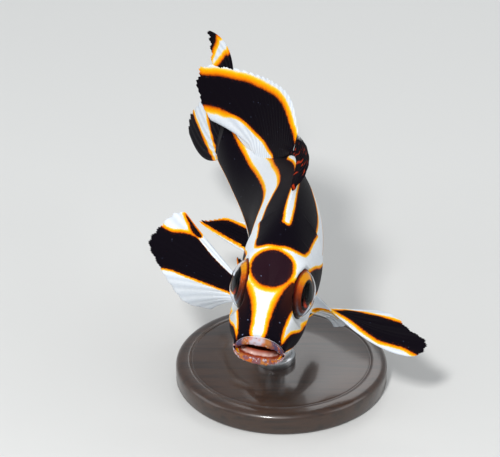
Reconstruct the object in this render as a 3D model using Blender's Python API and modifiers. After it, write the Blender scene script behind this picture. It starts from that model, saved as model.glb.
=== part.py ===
"""Young lessons sweetlips, about 58 mm long, swimming with its tail swept to its right.

A rod on a round base holds it up.  The fish is first described straight, in millimetres:
s runs from the snout to the tail, x to the fish's left and z up.  A bent spine then carries
each point to its place, and each mesh is scaled to metres when it is made.
"""

import math

import bmesh
import bpy
import numpy as np

# Scale and clearance
MM = 0.001
GAP = 0.3                   # between parts that touch
SNOUT = 2.5                 # behind this the head is a row of plain sections

# Spine: turn of the head in degrees, then bend, lift and twist along s
HEAD_TURN = (-8.5, -2.5, 6.5)
SIDE_BEND = [(0, 0), (12, 0), (20, 6.5), (28, 20), (36, 31), (44, 34), (52, 28)]
LIFT = [(0, 0), (12, 0), (30, -6.5), (50, 19)]
TWIST = [(0, 0), (12, 0), (30, 3), (50, -3.5)]
ANCHOR = 14.0               # s of the point that is set at ANCHOR_PLACE
ANCHOR_PLACE = (-0.1, -7.0, 18.5)

# Outline of the body, as (s, value)
BACK = [(2.5, 1.2), (4, 2.9), (6, 4.9), (8, 6.5), (10.5, 7.8), (14, 8.9), (18, 9.25), (23, 8.75),
        (28, 7.5), (33, 5.7), (38, 3.8), (42, 2.9), (46.5, 3.0)]
BELLY = [(2.5, -4.7), (4, -5.3), (6, -6.1), (9, -7.1), (12, -7.6), (15, -7.9), (19, -8.0),
         (25, -7.5), (30, -6.3), (34, -4.9), (38, -3.6), (42, -2.8), (46.5, -3.0)]
HALF_WIDTH = [(2.5, 3.1), (4, 3.6), (6, 3.95), (8, 4.05), (11, 4.15), (14, 4.2), (18, 4.15),
              (24, 3.9), (30, 3.1), (36, 2.25), (42, 1.5), (46.5, 0.8)]
WIDEST = [(2.5, -2.2), (4, -1.9), (6, -1.5), (9, -1.0), (14, -0.6), (30, -0.4), (46.5, 0.0)]
BACK_EDGE = [(2.5, 0.95), (6, 1.0), (10, 1.6), (15, 2.25), (30, 2.25), (46.5, 1.4)]
BELLY_EDGE = [(2.5, 0.9), (6, 0.85), (12, 0.95), (46.5, 0.95)]

# Mouth
MOUTH_Z = -2.65
MOUTH_HALF_WIDTH = 2.3
MOUTH_DEPTH = 2.4
LIP_ROLL = 1.2

# Nodes along the body
STALK_CUT = 39.5
STALK_END = 46.2
AROUND = 44                 # points in a ring

# Eyes
EYE_PLACE = (6.5, 3.05, 1.35)
EYE_RADIUS = 2.7
EYE_BULGE = 1.4
EYE_AXIS = (-0.24, 1.0, 0.13)
NOSTRILS = [(4.1, 50, 0.36), (4.9, 49, 0.30)]       # s, angle, radius

# Fins
MEMBRANE = 0.26             # half thickness between the rays
RIDGE = 0.12                # how far a ray stands out of each face
TIP_TAPER = 0.5
RAY_COLUMNS = ((0.0, 0.0), (0.3, 0.3), (0.5, 1.0), (0.7, 0.3))      # place in the ray, height

# Stand
BASE_RADIUS = 12.0
BASE_HEIGHT = 2.6
BASE_BEVEL = 0.4
ROD_RADIUS = 1.1
ROD_S = 21.5
ROD_FOOT_RADIUS = 2.3
ROD_FOOT_HEIGHT = 1.0

COLLECTION = "lessons_sweetlips"
CUTTERS = "cutters"


def clear_scene():
    for thing in list(bpy.data.objects):
        bpy.data.objects.remove(thing, do_unlink=True)


def collection(name):
    group = bpy.data.collections.new(name)
    bpy.context.scene.collection.children.link(group)
    return group


def curve(stations, at):
    """Value at `at` on a smooth curve through the stations, by cubic Hermite pieces."""
    place, value = np.array(stations, float).T
    step = np.diff(place)
    slope = np.diff(value) / step
    lean = np.empty(len(place))
    lean[0], lean[-1] = slope[0], slope[-1]
    lean[1:-1] = (slope[:-1] * step[1:] + slope[1:] * step[:-1]) / (step[1:] + step[:-1])
    at = np.asarray(at, float)
    i = np.clip(np.searchsorted(place, at) - 1, 0, len(place) - 2)
    t = np.clip((at - place[i]) / step[i], 0, 1)
    return ((2 * t**3 - 3 * t**2 + 1) * value[i] + (t**3 - 2 * t**2 + t) * step[i] * lean[i]
            + (3 * t**2 - 2 * t**3) * value[i + 1] + (t**3 - t**2) * step[i] * lean[i + 1])


def turn(side, up, roll):
    """Rotation matrices for a turn about z, then x, then y; angles in radians."""
    cy, sy, cx, sx, cr, sr = (f(v) for v in (side, up, roll) for f in (np.cos, np.sin))
    zero, one = np.zeros_like(cy), np.ones_like(cy)
    about_z = np.array([[cy, -sy, zero], [sy, cy, zero], [zero, zero, one]])
    about_x = np.array([[one, zero, zero], [zero, cx, -sx], [zero, sx, cx]])
    about_y = np.array([[cr, zero, sr], [zero, one, zero], [-sr, zero, cr]])
    return np.einsum("ij...,jk...,kl...->...il", about_z, about_x, about_y)


class Spine:
    """Carries straight points (s, x, z) to the bent fish."""

    def __init__(self):
        self.s = np.linspace(-4, 75, 396)
        bend, lift, twist = (np.radians(curve(t, self.s)) for t in (SIDE_BEND, LIFT, TWIST))
        head = turn(*np.radians(np.array(HEAD_TURN))[:, None])[0]
        self.frame = head @ turn(bend, lift, twist)
        along = self.frame[:, :, 1]
        ahead = (along[:-1] + along[1:]) / 2 * np.diff(self.s)[:, None]
        self.place = np.vstack([np.zeros(3), np.cumsum(ahead, axis=0)])
        self.place += np.array(ANCHOR_PLACE) - self.at(self.place, ANCHOR)

    def at(self, rows, s):
        return np.stack([np.interp(s, self.s, rows[:, k]) for k in range(3)], axis=-1)

    def __call__(self, point):
        """Place of (s, x, z) points."""
        point = np.asarray(point, float)
        s = point[..., 0]
        return (self.at(self.place, s) + self.at(self.frame[:, :, 0], s) * point[..., 1:2]
                + self.at(self.frame[:, :, 2], s) * point[..., 2:3])

    def near(self, s, offset):
        """Place of (tailward, left, up) offsets from the spine at one s, without the bend."""
        offset = np.asarray(offset, float)
        tail, left, up = (self.at(self.frame[:, :, k], s) for k in (1, 0, 2))
        return (self.at(self.place, s) + tail * offset[..., 0:1] + left * offset[..., 1:2]
                + up * offset[..., 2:3])


spine = Spine()


def section(s, angle):
    """Straight point on the body at s; angle 0 is the left side and 90 degrees the back."""
    back, belly, half, widest = (curve(t, s) for t in (BACK, BELLY, HALF_WIDTH, WIDEST))
    c, sn = np.cos(angle), np.sin(angle)
    upper = sn > 0
    power = np.where(upper, curve(BACK_EDGE, s), curve(BELLY_EDGE, s))
    x = half * np.sign(c) * np.abs(c) ** power
    z = widest + np.where(upper, back - widest, belly - widest) * np.abs(sn) ** 0.96
    return np.stack([s + 0 * angle, x, z], axis=-1)


def mouth_edge(angle):
    """Crest of the lips; the corners lie lower and further back than the middle."""
    c, sn = np.cos(angle), np.sin(angle)
    corner = np.abs(c)
    x = MOUTH_HALF_WIDTH * np.sign(c) * corner ** 0.85
    z = MOUTH_Z + np.where(sn > 0, 0.45, 0.85) * sn - 1.15 * corner ** 2.2
    s = 0.3 + 1.6 * corner ** 2.2 - 0.15 * np.clip(-sn, 0, 1)
    return np.stack([s, x, z], axis=-1)


def skin(u, angle):
    """Straight point on the skin: u is s behind SNOUT, 0 the lip crest, below 0 in the mouth."""
    u, angle = np.broadcast_arrays(np.asarray(u, float), np.asarray(angle, float))
    behind = section(np.maximum(u, SNOUT), angle)
    t = np.clip(1 - u / SNOUT, 0, 1)[..., None]
    start = section(np.full(angle.shape, SNOUT), angle)
    lean = (section(np.full(angle.shape, SNOUT + 0.2), angle) - start) / 0.2
    crest = mouth_edge(angle)
    outward = np.stack([0 * angle, np.cos(angle) * 0.5, np.sin(angle)], axis=-1)
    first = start - lean * 1.5
    second = crest + outward * LIP_ROLL - np.array([0.55, 0, 0])
    front = (start * (1 - t)**3 + 3 * first * t * (1 - t)**2 + 3 * second * t**2 * (1 - t)
             + crest * t**3)
    depth = np.clip(-u, 0, MOUTH_DEPTH)[..., None]
    shrink = 1 - 0.12 * np.clip(depth / 0.6, 0, 1) - 0.5 * np.clip((depth - 0.6) / 1.8, 0, 1)
    middle = np.array([0.0, 0.0, MOUTH_Z])
    scale = np.concatenate([np.ones_like(shrink), shrink, shrink], axis=-1)
    inside = middle + (crest - middle) * scale + depth * np.array([1.0, 0, 0])
    row = u[..., None]
    return np.where(row >= SNOUT, behind, np.where(row >= 0, front, inside))


def gill_edge(angle):
    """s of the gill cover's rear edge."""
    c, sn = np.abs(np.cos(angle)), np.sin(angle)
    return 12.3 + 2.9 * c ** 1.5 - 3.0 * np.clip(-sn, 0, 1) ** 2


def outward_normal(s, angle):
    """Normal of the bent skin."""
    d = 0.02
    along = spine(skin(s + d, angle)) - spine(skin(s - d, angle))
    around = spine(skin(s, angle + d)) - spine(skin(s, angle - d))
    n = np.cross(along, around)
    return n / np.linalg.norm(n, axis=-1, keepdims=True)


def enclosed_volume(points, faces):
    """Six times the signed volume inside the faces."""
    fans = np.array([(f[0], f[k], f[k + 1]) for f in faces for k in range(1, len(f) - 1)])
    a, b, c = (points[fans[:, k]] for k in range(3))
    return float(np.sum(a * np.cross(b, c)))


def make_object(name, points, faces, material, group):
    """Object from points in millimetres, with its faces turned outward."""
    points = np.asarray(points)
    if enclosed_volume(points, faces) < 0:
        faces = [tuple(reversed(face)) for face in faces]
    mesh = bpy.data.meshes.new(name)
    mesh.from_pydata((points * MM).tolist(), [], faces)
    mesh.update()
    thing = bpy.data.objects.new(name, mesh)
    group.objects.link(thing)
    if material:
        mesh.materials.append(material)
    mesh.shade_smooth()
    return thing


def loft(name, rings, first, last, material, group):
    """Closed body through rings of points, with a middle point closing each end."""
    rings = np.asarray(rings)
    count, around = rings.shape[:2]
    points = np.vstack([rings.reshape(-1, 3), first, last])
    head, tail = count * around, count * around + 1
    faces = []
    for i in range(around):
        j = (i + 1) % around
        faces.append((head, j, i))
        faces.append((tail, (count - 1) * around + i, (count - 1) * around + j))
        for r in range(count - 1):
            a, b = r * around, (r + 1) * around
            faces.append((a + i, a + j, b + i))
            faces.append((a + j, b + j, b + i))
    return make_object(name, points, faces, material, group)


def disc(edge_s, middle_s, angle, shift):
    """Rings from the skin in to the middle, bowed between the two, for a cut's face."""
    rings = []
    for r in (0.8, 0.55, 0.28):
        s = middle_s + (edge_s - middle_s) * r ** 2 + shift
        ring = section(s, angle)
        centre = np.stack([s, 0 * s, curve(WIDEST, s)], axis=-1)
        rings.append(spine(centre + (ring - centre) * r))
    centre_s = middle_s + shift
    return rings, spine(np.array([centre_s, 0.0, float(curve(WIDEST, centre_s))]))


def ring_angles():
    return np.arange(AROUND) * 2 * math.pi / AROUND + math.pi / 2


def make_head(material, group):
    angle = ring_angles()
    rings = [spine(skin(u, angle)) for u in (-2.4, -1.5, -0.7, -0.2)]
    rings += [spine(skin(u, angle)) for u in np.linspace(0, SNOUT, 9)[:-1]]
    edge = gill_edge(angle)
    for w in np.linspace(0, 1, 12):
        rings.append(spine(section(SNOUT + (edge - SNOUT) * w, angle)))
    cap, middle = disc(edge, 12.0, angle, 0.0)
    throat = spine(np.array([MOUTH_DEPTH + 0.3, 0.0, MOUTH_Z - 0.3]))
    return loft("head", rings + cap, throat, middle, material, group)


def make_trunk(material, group):
    angle = ring_angles()
    edge = gill_edge(angle)
    shift = GAP * 1.5
    cap, middle = disc(edge, 12.0, angle, shift)
    rings = cap[::-1]
    for w in np.linspace(0, 1, 18):
        rings.append(spine(section(edge + shift + (STALK_CUT - edge - shift) * w, angle)))
    end = spine(np.array([STALK_CUT, 0, 0]))
    return loft("trunk", rings, middle, end, material, group)


def make_stalk(material, group):
    angle = ring_angles()[::2]
    rings = [spine(section(s + 0 * angle, angle)) for s in np.linspace(STALK_CUT + GAP, STALK_END, 6)]
    start, end = (spine(np.array([s, 0, 0])) for s in (STALK_CUT + GAP, STALK_END))
    return loft("tail_stalk", rings, start, end, material, group)


def eye_shell(name, side, grow, material, group):
    """Flattened ball set in the side of the head."""
    bm = bmesh.new()
    bmesh.ops.create_uvsphere(bm, u_segments=24, v_segments=11, radius=1)
    ball = np.array([v.co[:] for v in bm.verts])
    faces = [[v.index for v in f.verts] for f in bm.faces]
    bm.free()
    axis = np.array(EYE_AXIS) / np.linalg.norm(EYE_AXIS)
    up = np.array([0, 0, 1]) - axis * axis[2]
    up /= np.linalg.norm(up)
    fore = np.cross(up, axis)
    local = (ball[:, 2:] * (EYE_BULGE + grow) * axis + ball[:, 0:1] * (EYE_RADIUS + grow) * fore
             + ball[:, 1:2] * (EYE_RADIUS + grow) * up) + np.array(EYE_PLACE)
    local[:, 1] *= side
    return make_object(name, spine(local), faces, material, group)


def cut(thing, cutter):
    cutter.hide_render = True
    cutter.display_type = "WIRE"
    modifier = thing.modifiers.new("cut_" + cutter.name, "BOOLEAN")
    modifier.object = cutter
    modifier.operation = "DIFFERENCE"


def cut_nostrils(head, group):
    for side, tag in ((1, "left"), (-1, "right")):
        for number, (s, angle, radius) in enumerate(NOSTRILS):
            turned = math.radians(angle if side > 0 else 180 - angle)
            place = spine(skin(s, turned))
            bm = bmesh.new()
            bmesh.ops.create_icosphere(bm, subdivisions=2, radius=radius)
            points = np.array([v.co[:] for v in bm.verts]) + place
            faces = [[v.index for v in f.verts] for f in bm.faces]
            bm.free()
            cut(head, make_object(f"nostril_{tag}_{number}", points, faces, None, group))


def fin(name, root, root_side, tip, bow, rays, rows, notch, material, group):
    """Fin with its rays raised in its faces.

    root, root_side, tip and bow are functions of t, from the first ray at 0 to the last at 1;
    they give the place of the root and the tip, the direction of the root's thickness and how
    far the middle of the ray is pushed off the straight line.
    """
    columns = [((ray + place) / rays, height) for ray in range(rays) for place, height in RAY_COLUMNS]
    columns.append((1.0, 0.0))
    t = np.array([c[0] for c in columns])
    height = np.array([c[1] for c in columns])
    start, end, push = root(t), tip(t), bow(t)
    end = end - (end - start) * (notch * (1 - height))[:, None]
    v = np.array(rows)[:, None, None]
    middle = (start + end) / 2 + push
    sheet = start * (1 - v)**2 + 2 * middle * v * (1 - v) + end * v**2
    across = np.gradient(sheet, axis=1)
    along = np.gradient(sheet, axis=0)
    normal = np.cross(across, along)
    normal /= np.linalg.norm(normal, axis=-1, keepdims=True)
    side = root_side(t)
    side = side * np.sign(np.sum(side * normal[0], axis=-1, keepdims=True))
    blend = np.clip(v / 0.2, 0, 1)
    normal = normal * blend + side * (1 - blend)
    normal /= np.linalg.norm(normal, axis=-1, keepdims=True)
    taper = 1 - TIP_TAPER * np.clip((v[..., 0] - 0.55) / 0.45, 0, 1) ** 1.5
    half = (MEMBRANE + RIDGE * height[None, :]) * taper
    faces_points = [sheet + normal * half[..., None], sheet - normal * half[..., None]]
    count, width = sheet.shape[:2]
    points = np.vstack([p.reshape(-1, 3) for p in faces_points])
    back = count * width
    faces = []
    for r in range(count - 1):
        for c in range(width - 1):
            a, b = r * width + c, (r + 1) * width + c
            faces += [(a, a + 1, b), (a + 1, b + 1, b)]
            faces += [(back + a, back + b, back + a + 1), (back + a + 1, back + b, back + b + 1)]
    rim = [c for c in range(width)]
    rim += [r * width + width - 1 for r in range(1, count)]
    rim += [(count - 1) * width + c for c in range(width - 2, -1, -1)]
    rim += [r * width for r in range(count - 2, 0, -1)]
    for a, b in zip(rim, rim[1:] + rim[:1]):
        faces += [(a, back + a, b), (b, back + a, back + b)]
    return make_object(name, points, faces, material, group)


def path(stations):
    """Function of t through (t, s, x, z) stations, on the bent fish."""
    return lambda t: spine(straight_path(stations, t))


def straight_path(stations, t):
    table = np.array(stations, float)
    return np.stack([curve(table[:, [0, k]], t) for k in (1, 2, 3)], axis=-1)


def push(stations):
    """Function of t through (t, left, up) stations, in the frame of the fish's root."""
    table = np.array(stations, float)
    left, up = spine.at(spine.frame[:, :, 0], 40.0), spine.at(spine.frame[:, :, 2], 40.0)
    return lambda t: (curve(table[:, [0, 1]], t)[:, None] * left
                      + curve(table[:, [0, 2]], t)[:, None] * up)


ROWS = (0, 0.1, 0.25, 0.42, 0.6, 0.78, 0.9, 1)
SHORT_ROWS = (0, 0.2, 0.5, 0.8, 1)


def middle_fin(name, s0, s1, outline, tips, bow, rays, rows, notch, material, group):
    """Fin on the middle line, whose root follows the back or the belly."""
    way = 1 if outline is BACK else -1

    def root(t):
        s = s0 + (s1 - s0) * t
        return spine(np.stack([s, 0 * s, curve(outline, s) + way * GAP], axis=-1))

    def side(t):
        return spine.at(spine.frame[:, :, 0], s0 + (s1 - s0) * t)

    return fin(name, root, side, path(tips), push(bow), rays, rows, notch, material, group)


def make_dorsal_fins(material, group):
    middle_fin("dorsal_fin_spiny", 14.8, 26.4, BACK,
               [(0, 16.0, 0.7, 10.7), (0.15, 17.8, 0.9, 11.5), (0.3, 19.8, 0.5, 11.7),
                (0.55, 23.0, 0.25, 11.0), (0.8, 26.2, 0.4, 10.3), (1, 28.0, 0.4, 10.0)],
               [(0, 0.9, 0), (0.4, 0.9, 0), (1, 0.2, 0)], 12, SHORT_ROWS, 0.22, material, group)
    middle_fin("dorsal_fin_soft", 27.0, 38.9, BACK,
               [(0, 29.2, 1.0, 9.95), (0.2, 32.0, 0.5, 13.0), (0.4, 36.8, 0.2, 13.45),
                (0.6, 42.0, -0.2, 12.75), (0.76, 45.9, -1.85, 12.0), (0.88, 48.6, -4.25, 10.5),
                (0.95, 47.5, -4.3, 7.4), (1, 45.3, -3.3, 4.8)],
               [(0, 0, 0), (0.6, 0.6, 0.6), (0.9, 1.6, 1.0), (1, 0.9, 0.3)],
               16, ROWS, 0.07, material, group)


def make_anal_fin(material, group):
    middle_fin("anal_fin", 30.2, 36.4, BELLY,
               [(0, 40.9, -4.5, -6.8), (0.12, 40.9, -4.3, -6.6), (0.35, 40.1, -3.75, -6.1),
                (0.55, 39.9, -2.8, -5.9), (0.8, 39.3, -1.9, -5.4), (1, 38.4, -1.2, -5.3)],
               [(0, 0, -0.7), (1, 0, -0.1)], 9, (0, 0.15, 0.4, 0.7, 0.88, 1), 0.06, material, group)


def make_caudal_fin(material, group):
    half = 2.75

    def root(t):
        return spine(np.stack([STALK_END + GAP + 0 * t, 0 * t, half * (2 * t - 1)], axis=-1))

    def side(t):
        return spine.at(spine.frame[:, :, 0], STALK_END + 0 * t)

    tips = [(0, 57.4, 0, -8.9), (0.15, 57.8, 0, -6.6), (0.3, 56.4, 0, -3.7), (0.45, 55.2, 0.1, -0.8),
            (0.55, 54.8, 0.3, 1.2), (0.7, 55.4, 0.5, 3.6), (0.85, 56.9, 0.3, 6.2), (1, 57.7, -0.2, 8.0)]
    bow = [(0, 0, -3.4), (0.5, 0.3, 0), (1, 3.0, 4.6)]
    fin("caudal_fin", root, side, path(tips), push(bow), 15, ROWS, 0.06, material, group)


def side_fin(name, line, frame_s, tips, bow, rays, notch, material, group):
    """Paired fin rooted along a line of (s, angle) on the skin; tips and bow are rows of
    (t, tailward, left, up)."""
    (s0, a0), (s1, a1) = line
    table = np.array(tips, float)
    lean = np.array(bow, float)

    def along(t):
        return s0 + (s1 - s0) * t, np.radians(a0 + (a1 - a0) * t)

    def root(t):
        return spine(skin(*along(t))) + outward_normal(*along(t)) * GAP

    def side(t):
        d = 0.01
        run = root(t + d) - root(t - d)
        n = np.cross(run, outward_normal(*along(t)))
        return n / np.linalg.norm(n, axis=-1, keepdims=True)

    def tip(t):
        return spine.near(frame_s, np.stack([curve(table[:, [0, k]], t) for k in (1, 2, 3)], axis=-1))

    def bend(t):
        offset = np.stack([curve(lean[:, [0, k]], t) for k in (1, 2, 3)], axis=-1)
        return spine.near(frame_s, offset) - spine.near(frame_s, 0 * offset)

    return fin(name, root, side, tip, bend, rays, ROWS, notch, material, group)


def make_paired_fins(material, group):
    frame_s = 16.0
    side_fin("pectoral_fin_right", ((16.4, 205), (15.8, 223)), frame_s,
             [(0, 4.5, -11.8, 1.6), (0.12, 5.0, -13.1, 0.8), (0.25, 5.0, -14.6, -1.3),
              (0.4, 4.8, -15.4, -3.2), (0.55, 4.0, -14.0, -5.2), (0.7, 3.2, -12.3, -7.0),
              (0.85, 2.6, -10.2, -8.7), (1, 2.4, -7.2, -8.9)],
             [(0, 0.0, -0.8, 0.6), (1, 0.0, -0.8, 0.6)], 13, 0.04, material, group)
    side_fin("pectoral_fin_left", ((16.4, -25), (15.8, -43)), frame_s,
             [(0, -2.0, 15.8, -8.1), (0.1, -1.5, 16.8, -7.6), (0.22, -0.5, 17.0, -6.8),
              (0.38, 1.0, 14.9, -6.4), (0.52, 2.5, 13.0, -5.8), (0.68, 4.2, 10.0, -6.6),
              (0.85, 3.6, 8.0, -8.6), (1, 2.2, 6.6, -8.4)],
             [(0, -1.65, 1.2, -2.6), (0.13, -1.3, 1.2, -2.0), (0.3, -0.5, 1.2, -0.6), (0.5, 0.2, 1.2, 0.6),
              (1, 0.2, 1.2, 0.6)], 13, 0.04, material, group)
    side_fin("pelvic_fin_right", ((16.4, 246), (17.9, 260)), frame_s,
             [(0, 10.0, -6.7, -4.6), (0.3, 10.2, -6.1, -5.0), (0.65, 9.4, -5.2, -5.2), (1, 7.2, -4.0, -6.0)],
             [(0, -0.3, -0.6, -0.8), (1, -0.3, -0.6, -0.8)], 6, 0.05, material, group)
    side_fin("pelvic_fin_left", ((16.4, -66), (17.9, -80)), frame_s,
             [(0, 11.5, 4.6, -10.4), (0.3, 11.2, 4.0, -11.2), (0.65, 9.6, 3.4, -11.6), (1, 7.2, 2.6, -11.2)],
             [(0, -0.4, 0.9, -0.9), (1, -0.4, 0.9, -0.9)], 6, 0.05, material, group)


def make_stand(wood, metal, group, cutters):
    bm = bmesh.new()
    bmesh.ops.create_cone(bm, cap_ends=True, segments=48, radius1=BASE_RADIUS * MM,
                          radius2=BASE_RADIUS * MM, depth=BASE_HEIGHT * MM)
    mesh = bpy.data.meshes.new("stand_base")
    bm.to_mesh(mesh)
    bm.free()
    mesh.materials.append(wood)
    base = bpy.data.objects.new("stand_base", mesh)
    base.location = (0, 0, BASE_HEIGHT / 2 * MM)
    group.objects.link(base)
    bevel = base.modifiers.new("edge", "BEVEL")
    bevel.width = BASE_BEVEL * MM
    bevel.segments = 2
    bevel.limit_method = "ANGLE"

    top = spine(np.array([ROD_S, 0.0, float(curve(BELLY, ROD_S)) + 0.8]))
    foot_z = BASE_HEIGHT + GAP
    profile = [(0.0, foot_z), (ROD_FOOT_RADIUS, foot_z), (ROD_FOOT_RADIUS, foot_z + ROD_FOOT_HEIGHT * 0.6),
               (ROD_FOOT_RADIUS - 0.4, foot_z + ROD_FOOT_HEIGHT), (ROD_RADIUS, foot_z + ROD_FOOT_HEIGHT),
               (ROD_RADIUS, top[2])]
    sides = 24
    angle = np.arange(sides) * 2 * math.pi / sides
    rings = [np.stack([top[0] + r * np.cos(angle), top[1] + r * np.sin(angle), z + 0 * angle], axis=-1)
             for r, z in profile[1:]]
    rod = loft("stand_rod", rings, (top[0], top[1], foot_z), (top[0], top[1], top[2]), metal, group)
    cut(rod, belly_cutter(cutters))


def belly_cutter(group):
    """Body between two sections round the rod, larger than the skin by the gap."""
    angle = ring_angles()
    rings = []
    for s in np.linspace(ROD_S - 5, ROD_S + 5, 12):
        ring = s + 0 * angle
        rings.append(spine(section(ring, angle)) + outward_normal(ring, angle) * GAP)
    start, end = (spine(np.array([s, 0, 0])) for s in (ROD_S - 5, ROD_S + 5))
    return loft("belly_cutter", rings, start, end, None, group)


def material(name, colour, roughness, metallic=0.0):
    made = bpy.data.materials.new(name)
    made.use_nodes = True
    shader = made.node_tree.nodes["Principled BSDF"]
    shader.inputs["Base Color"].default_value = (*colour, 1)
    shader.inputs["Roughness"].default_value = roughness
    shader.inputs["Metallic"].default_value = metallic
    return made


def main():
    clear_scene()
    group = collection(COLLECTION)
    cutters = collection(CUTTERS)
    flesh = material("banded_skin", (0.75, 0.72, 0.66), 0.4)
    membrane = material("fin_membrane", (0.05, 0.04, 0.05), 0.45)
    cornea = material("eye", (0.03, 0.03, 0.06), 0.1)
    wood = material("stand_wood", (0.04, 0.035, 0.03), 0.35)
    metal = material("stand_metal", (0.6, 0.6, 0.6), 0.3, 1.0)

    head = make_head(flesh, group)
    make_trunk(flesh, group)
    make_stalk(flesh, group)
    for side, tag in ((1, "left"), (-1, "right")):
        eye_shell(f"eye_{tag}", side, 0.0, cornea, group)
        cut(head, eye_shell(f"socket_{tag}", side, GAP, None, cutters))
    cut_nostrils(head, cutters)
    make_dorsal_fins(membrane, group)
    make_anal_fin(membrane, group)
    make_caudal_fin(membrane, group)
    make_paired_fins(membrane, group)
    make_stand(wood, metal, group, cutters)


main()
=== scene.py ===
# %% [markdown]
# # A young lessons sweetlips, life size, on a small display stand
#
# The fish is about 58 mm long and swims towards us with its tail swung to one side. This file
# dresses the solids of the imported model: one skin without seams goes over the head, trunk and
# tail stalk, each fin gets a thin membrane and its own branched rays, and each eye gets an iris,
# a pupil and a clear cornea. Lengths below are in millimetres until a mesh is made.
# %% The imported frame
import math

import bpy
import numpy as np
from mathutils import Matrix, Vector


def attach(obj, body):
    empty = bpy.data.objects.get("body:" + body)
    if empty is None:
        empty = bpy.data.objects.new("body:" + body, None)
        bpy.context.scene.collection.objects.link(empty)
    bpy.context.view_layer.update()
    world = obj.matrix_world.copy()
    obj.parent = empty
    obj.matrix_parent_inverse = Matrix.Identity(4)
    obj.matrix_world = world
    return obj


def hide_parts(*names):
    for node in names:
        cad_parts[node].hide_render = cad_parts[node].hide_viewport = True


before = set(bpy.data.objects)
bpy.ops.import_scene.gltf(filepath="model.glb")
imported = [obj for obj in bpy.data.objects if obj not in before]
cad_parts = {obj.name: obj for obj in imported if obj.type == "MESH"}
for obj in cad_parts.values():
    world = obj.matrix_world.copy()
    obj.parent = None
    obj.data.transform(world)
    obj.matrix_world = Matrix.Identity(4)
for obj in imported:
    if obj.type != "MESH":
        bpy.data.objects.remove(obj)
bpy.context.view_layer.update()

MM = 0.001
print("nodes:", ", ".join(sorted(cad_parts)))

# %% [markdown]
# ## The camera
# The fish was seen from in front and from 30 degrees above, from about 28 cm away. A long lens
# far off would flatten the fish, and a wide one close by would swell its head, so the distance
# is set first and the focal length follows from how large the fish is in the frame.
# %% Camera
CAMERA_PLACE = (-1.15, -249.49, 158.41)
LOOK_AT = (-3.53, -4.86, 22.12)
LENS = 186.0
SENSOR_WIDTH = 36.0
CLIP_START = 0.01


def place_camera():
    """Makes the scene's camera and returns how far it looks, in millimetres."""
    made = bpy.data.objects.new("camera", bpy.data.cameras.new("camera"))
    bpy.context.scene.collection.objects.link(made)
    made.data.lens = LENS
    made.data.sensor_width = SENSOR_WIDTH
    made.data.clip_start = CLIP_START
    made.location = Vector(CAMERA_PLACE) * MM
    gaze = Vector(LOOK_AT) - Vector(CAMERA_PLACE)
    made.rotation_euler = gaze.to_track_quat("-Z", "Y").to_euler()
    bpy.context.scene.camera = made
    return gaze.length


distance = place_camera()
print("camera looks over", round(distance), "mm")

# %% [markdown]
# ## Curves and the bent spine
# A fish is easiest to describe straight: a place is s, the distance behind the snout, x to its
# left and z up. The spine then carries straight places to the bent pose. The measures are the
# ones the solids were made from, so the skin lies where they are.
# %% Measures of the body
HEAD_TURN = (-8.5, -2.5, 6.5)
SPINE_START = -4.0
SPINE_END = 75.0
SPINE_POINTS = 396
SIDE_BEND = [(0, 0), (12, 0), (20, 6.5), (28, 20), (36, 31), (44, 34), (52, 28)]
LIFT = [(0, 0), (12, 0), (30, -6.5), (50, 19)]
TWIST = [(0, 0), (12, 0), (30, 3), (50, -3.5)]
ANCHOR = 14.0
ANCHOR_PLACE = (-0.1, -7.0, 18.5)

BACK = [(2.5, 1.2), (4, 2.9), (6, 4.9), (8, 6.5), (10.5, 7.8), (14, 8.9), (18, 9.25), (23, 8.75),
        (28, 7.5), (33, 5.7), (38, 3.8), (42, 2.9), (46.5, 3.0)]
BELLY = [(2.5, -4.7), (4, -5.3), (6, -6.1), (9, -7.1), (12, -7.6), (15, -7.9), (19, -8.0),
         (25, -7.5), (30, -6.3), (34, -4.9), (38, -3.6), (42, -2.8), (46.5, -3.0)]
HALF_WIDTH = [(2.5, 3.15), (4, 3.75), (6, 4.1), (8, 4.15), (11, 4.15), (14, 4.2), (18, 4.15),
              (24, 3.9), (30, 3.1), (36, 2.25), (42, 1.5), (46.5, 0.8)]
WIDEST = [(2.5, -2.2), (4, -1.9), (6, -1.5), (9, -1.0), (14, -0.6), (30, -0.4), (46.5, 0.0)]
BACK_EDGE = [(2.5, 0.95), (6, 1.0), (10, 1.6), (15, 2.25), (30, 2.25), (46.5, 1.4)]
BELLY_EDGE = [(2.5, 0.85), (6, 0.75), (12, 0.92), (46.5, 0.95)]

STALK_END = 46.2
FLAP_END = 47.7
print("body", BACK[-1][0], "mm long and up to", 2 * max(half for _, half in HALF_WIDTH), "mm wide")


# %% A smooth curve through stations
def curve(stations, at):
    """Value at `at` on a smooth curve through the stations, by cubic Hermite pieces."""
    place, value = np.array(stations, float).T
    step = np.diff(place)
    slope = np.diff(value) / step
    lean = np.empty(len(place))
    lean[0], lean[-1] = slope[0], slope[-1]
    lean[1:-1] = (slope[:-1] * step[1:] + slope[1:] * step[:-1]) / (step[1:] + step[:-1])
    at = np.asarray(at, float)
    i = np.clip(np.searchsorted(place, at) - 1, 0, len(place) - 2)
    t = np.clip((at - place[i]) / step[i], 0, 1)
    return ((2 * t**3 - 3 * t**2 + 1) * value[i] + (t**3 - 2 * t**2 + t) * step[i] * lean[i]
            + (3 * t**2 - 2 * t**3) * value[i + 1] + (t**3 - t**2) * step[i] * lean[i + 1])


print("half way along, the back is", round(float(curve(BACK, STALK_END / 2)), 2), "mm over the spine")


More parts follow.
